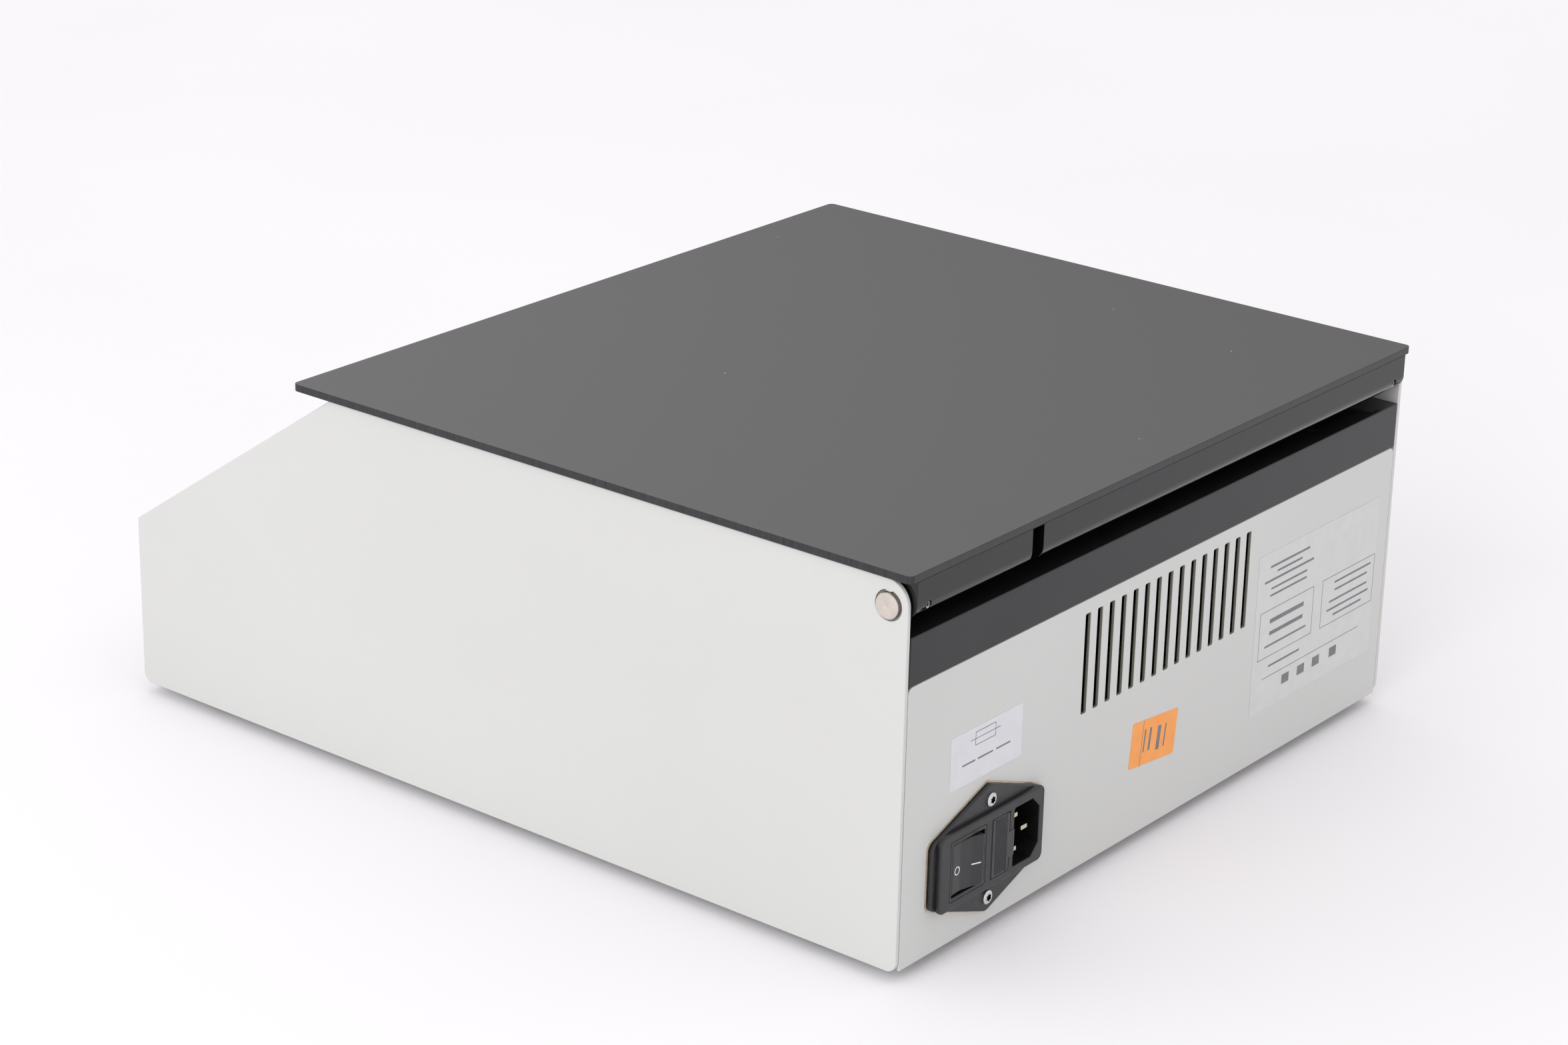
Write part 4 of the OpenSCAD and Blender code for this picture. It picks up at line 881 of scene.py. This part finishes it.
for dx in (-4.5 * MM, 4.5 * MM):
    runner = at_inlet(DRAWER_DX + dx, 1.4 * MM, 23.6 * MM, 0.2 * MM)
    depth = drawer_hi.y - drawer_lo.y
    drawer_parts.append(facing_back(plate([runner], depth, [0.15 * MM], 2), drawer_hi.y))
drawer_parts.append(facing_back(plate([slide_loop], 2 * MM, [0.2 * MM], 2), drawer_lo.y + 2 * MM))
build("fuse_drawer_slide", drawer_parts, "fuse_holder", drawer_plastic,
      stands_for=["fuse_drawer"])
softened("fuses", 0.5 * MM)

# %% [markdown]
# The two screws have low round heads with a six-lobed socket. The lobes are a wave on a circle:
# radius = mean + lobe times the cosine of six times the angle. The head's rings run from that
# star out to the rim, so the socket is part of the surface and not a cut.

# %% Screws of the inlet
def lobed_screw(head_r, height, socket_r, lobe, depth, sides=72):
    """Rings from the socket's floor up its wall, over the domed head and down its side. The lobes
    fade out between the socket's mouth and the head's rim."""
    turn = np.linspace(0, 2 * np.pi, sides, endpoint=False)
    wave = np.cos(6 * turn)
    rows = [(0.25, -depth, 0.2), (1.0, -depth, 1.0), (1.0, 0.0, 1.0), (1.08, 0.02 * MM, 0.9)]
    rings = [(socket_r * share + lobe * fade * wave, height + rise) for share, rise, fade in rows]
    rings += [(socket_r + (head_r - socket_r) * s + lobe * (1 - s) ** 2 * wave,
               height - 0.45 * MM * s ** 3) for s in np.linspace(0.35, 1, 5)]
    rings += [(np.full(sides, head_r), height - 0.6 * MM), (np.full(sides, head_r - 0.05 * MM), 0)]
    points = np.concatenate([
        np.stack([r * np.cos(turn), r * np.sin(turn), np.full(sides, h)], 1) for r, h in rings])
    faces = [quad[:1] + quad[:0:-1] for quad in grid_faces(len(rings), sides)]
    in_socket = 2 * sides
    kinds = [HOLE] * in_socket + [RIM] * (len(faces) - in_socket) + [HOLE, FLAT]
    faces.append(tuple(range(sides)))
    faces.append(tuple(range(len(points) - 1, len(points) - sides - 1, -1)))
    return points, faces, kinds


head = lobed_screw(head_r=2.75 * MM, height=1.2 * MM, socket_r=1.35 * MM, lobe=0.22 * MM,
                   depth=0.85 * MM)
shank = lathe(np.array([(1.3, -7.5), (1.5, -7.2), (1.5, 0.05)]) * MM, 32)
nut = lathe(np.array([(2.7, -6.4), (3, -6.1), (3, -4.5), (2.7, -4.22)]) * MM, 6)
screws = [place(part, (INLET_X, FLANGE_FACE, INLET_Z + sign * SCREW_DZ), Z, X)
          for sign in (-1, 1) for part in (head, shank, nut)]
# the sockets' faces take the painted shade
build("inlet_screw_heads", screws, "case", screw_zinc, hole_finish=screw_socket_painted_shade,
      stands_for=["inlet_screws"])

# %% [markdown]
# ## Labels
# Three stickers lie on the rear panel, thin sheets with small die-cut corners. Their print is
# generic: a fuse's circuit symbol, and plain frames, rules and bars where text would be. It is an
# ink film a few hundredths of a millimetre thick.

# %% Stickers
LINE, INK_T = 0.3 * MM, 0.04 * MM


def tilted(loop, at, angle=0.0):
    """Turns a loop that was drawn about its own middle and moves it to a place on the panel."""
    c, s = math.cos(math.radians(angle)), math.sin(math.radians(angle))
    return loop @ np.array([(c, s), (-s, c)]) + np.array(at)


def bar(width, height, at, angle=0.0):
    """A plain printed bar, which stands for a row of text. Its sizes are in millimetres."""
    loop = rectangle(width * MM, height * MM, 0.1 * MM, steps=1)
    return ink([tilted(loop, np.array(at) * MM, angle)])


def ink(loops):
    """A print film over the stickers, in the shape of one outline and its holes."""
    return facing_back(plate(loops, INK_T, [0.1 * INK_T] * len(loops), 1), REAR + 0.17 * MM)


def frame_of(width, height, at):
    """A printed frame: a rectangle with a smaller one cut out. Its sizes are in millimetres."""
    sizes = [(width * MM + d, height * MM + d) for d in (LINE, -LINE)]
    return ink([tilted(rectangle(w, h, 0.3 * MM, steps=2), np.array(at) * MM) for w, h in sizes])


STICKERS = {
    "fuse": ((44.5, 21.5), (118.6, 77.9), 0, paper_white),
    "orange": ((31.8, 19), (5.5, 42.8), 6, paper_orange),
    "rating": ((94, 70), (-112.5, 62.5), 0, film_pale),
}
for name, (size, at, angle, finish) in STICKERS.items():
    loop = tilted(rectangle(size[0] * MM, size[1] * MM, 0.8 * MM, steps=4), np.array(at) * MM, angle)
    sheet = facing_back(plate([loop], 0.15 * MM, [0.03 * MM], 1), REAR + 0.15 * MM)
    label = build(f"label_{name}", [sheet], "case", finish)
    if name == "fuse":
        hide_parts("rear_labels")

# %% [markdown]
# The print is rows, frames and bars, each at its own place on the panel.

# %% Print
strokes = [frame_of(12.4, 5.2, (119.6, 83.9)), bar(18.4, 0.3, (119.6, 83.9)),
           bar(8, 0.7, (129.6, 75.4)), bar(9.5, 0.7, (119.3, 75.4)), bar(9, 0.7, (108.2, 75.4))]
build("print_fuse_symbol", strokes, "case", print_ink)
# Each row is its middle's X and Z, its width and its height, in millimetres.
RATING_ROWS = [
    (-89.5, 91.0, 30.0, 1.0), (-89.5, 88.0, 19.0, 0.9), (-89.5, 85.0, 37.5, 1.0),
    (-89.8, 81.2, 27.5, 0.9), (-89.6, 78.2, 28.0, 0.9), (-89.7, 66.7, 26.0, 1.9),
    (-89.7, 61.3, 25.5, 1.7), (-89.7, 56.0, 31.5, 0.9), (-141.2, 68.8, 29.0, 0.9),
    (-140.2, 65.3, 26.0, 0.9), (-138.5, 60.8, 30.0, 0.9), (-138.5, 57.2, 33.0, 0.9),
    (-138.5, 54.1, 22.5, 0.9), (-89.8, 46.6, 23.8, 0.9),
]
rows = [bar(width, height, (x, z)) for x, z, width, height in RATING_ROWS]
rows.append(bar(76, 0.3, (-111.3, 42)))
rows += [bar(5.6, 4.2, (x, 37)) for x in (-92.1, -104.1, -115.9, -129.4)]
frames = [frame_of(40.9, 20.8, (-89.7, 61.6)), frame_of(41.4, 21.2, (-138, 61.5))]
build("print_rating_frames", frames + rows, "case", print_ink)
upright = [bar(0.9, 9.5, (12, 44.2), 8), bar(1.4, 9.5, (8.2, 43.8), 8),
           bar(2.4, 10, (2.1, 42.3), 8), bar(0.9, 9.5, (-2.4, 42), 8)]
build("print_orange_bars", upright + [bar(0.3, 19, (13.8, 43.4), 6)], "case", print_ink)

# %% [markdown]
# ## Chamber, shaker and electronics
# These sit under the lid or inside the case. Machined and moulded parts get a chamfer in
# proportion to their size. Soft ones, such as the foam, seal and belt, get a rounder edge.

# %% Parts inside
soften_all({
    "chamber_tub": 0.4, "heater_mat": 0.3, "temperature_probe": 0.3,
    "drive_bridge": 0.4, "bridge_posts": 0.4, "idler_housings": 0.5, "fixed_bearings": 0.2,
    "drive_shaft": 0.3, "main_pulley": 0.4, "counterweight": 0.5, "drive_motor": 0.8,
    "motor_pulley": 0.3, "drive_belt": 0.2, "idler_crank_1": 0.4, "idler_crank_2": 0.4,
    "idler_crank_3": 0.4, "idler_crank_4": 0.4, "shaker_table": 0.5, "table_bearings": 0.2,
    "plate_nest": 0.4, "plate_springs": 0.15, "power_supply": 0.3, "control_board": 0.2,
})
softened("chamber_foam", 0.8 * MM)

# %% [markdown]
# ## Controls
# The sloped front has a gloss plate with a display window and four buttons. The buttons' symbols
# are the usual ones: a triangle to start, a square to stop, and an arrow up and down.

# %% Control plate, window and buttons
soften_all({"control_bezel": 0.3, "display_window": 0.15, "display_module": 0.2, "start_button": 0.6,
            "stop_button": 0.6, "up_button": 0.6, "down_button": 0.6}, segments=3)
SLOPE_H = TOP - BASE - FRONT_H
SLOPE, SLOPE_L = math.atan2(SLOPE_H, SLOPE_D), math.hypot(SLOPE_H, SLOPE_D)
up_slope = np.array([0, math.cos(SLOPE), math.sin(SLOPE)])
off_slope = np.array([0, -math.sin(SLOPE), math.cos(SLOPE)])
slope_middle = np.array([0, FRONT, BASE + FRONT_H]) + up_slope * SLOPE_L / 2
arrow = np.array([(-2.1, -1.3), (2.1, -1.3), (0, 1.9)]) * MM
quarter_turn = np.array([(0, -1), (1, 0)])
# Each button's symbol, its ink and the cap's slot.
SYMBOLS = {
    "start": (arrow @ quarter_turn, mark_white, "button_green"),
    "stop": (rectangle(3.2 * MM, 3.2 * MM, 0.3 * MM), mark_white, "button_red"),
    "up": (arrow, print_ink, "button_grey"),
    "down": (-arrow, print_ink, "button_grey"),
}
BUTTON_TOP, SYMBOL_T, SYMBOL_IN = 1.6 * MM, 0.06 * MM, 0.02 * MM
for name, (shape, finish, slot) in SYMBOLS.items():
    low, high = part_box(f"{name}_button")
    at = slope_middle + (low.x + high.x) / 2 * X + off_slope * (BUTTON_TOP - SYMBOL_IN)
    symbol = place(plate([shape], SYMBOL_T, [0.01 * MM], 1), at, X, up_slope)
    build(f"symbol_{name}", [symbol], f"{name}_key", finish)

# %% [markdown]
# ## Studio
# A pale floor and a bright surround make a soft studio. A polished black sheet shows whatever it
# faces, so the surround gives the lid its grey. It brightens from 0.65 to 1.1 across a horizon of
# its own, and fades a little higher up. One large lamp lifts the right panel above the rear one.

# %% Floor, surround and lamp
def studio_floor(side):
    """A matt floor that reaches far past what any view shows."""
    made = new_material("matt_white_studio_floor", Roughness=0.9)
    mottle(made, 600 * MM, "EEEDEF", "F2F1F3")
    floor = bpy.data.objects.new("floor", bpy.data.meshes.new("floor"))
    corners = rectangle(2 * side, 2 * side, 0)
    floor.data.from_pydata([(x, y, 0) for x, y in corners.tolist()], [], [(0, 1, 2, 3)])
    floor.data.materials.append(made)
    bpy.context.scene.collection.objects.link(floor)


def soft_lamp(name, at, aim_at, size, power):
    """A square lamp of a size in metres and a power in watts, turned to what it lights."""
    light = bpy.data.lights.new(name, "AREA")
    light.shape = "SQUARE"
    light.size = size
    light.energy = power
    made = bpy.data.objects.new(name, light)
    made.location = at
    made.rotation_euler = (Vector(aim_at) - Vector(at)).to_track_quat("-Z", "Y").to_euler()
    made.visible_glossy = False  # a polished lid would show the lamp as a white sheet
    bpy.context.scene.collection.objects.link(made)


studio_floor(14.0)
SKY_UP = (0.3675, 0.0377, 0.9297)  # the surround brightens this way, not straight up
world = bpy.data.worlds.new("surround")
world.use_nodes = True
sky = world.node_tree
ray = add(sky, "TexCoord").outputs["Generated"]
level = add(sky, "VectorMath", {0: ray, 1: SKY_UP}, operation="DOT_PRODUCT")
rise = add(sky, "MapRange", {0: level.outputs["Value"], 1: -0.06, 2: 0.06, 3: 0.65, 4: 1.1})
ease = add(sky, "MapRange", {0: level.outputs["Value"], 1: 0.08, 2: 0.4, 3: 1.0, 4: 0.98})
shine = add(sky, "Math", {0: rise.outputs[0], 1: ease.outputs[0]}, operation="MULTIPLY")
sky.nodes["Background"].inputs["Color"].default_value = srgb("FBF9FA")
sky.links.new(shine.outputs[0], sky.nodes["Background"].inputs["Strength"])
bpy.context.scene.world = world
soft_lamp("right_softbox", (3.0, 0.4, 1.6), (0, 0, 0.05), 2.2, 40)
bpy.context.scene.view_settings.view_transform = "Standard"
print("studio ready")
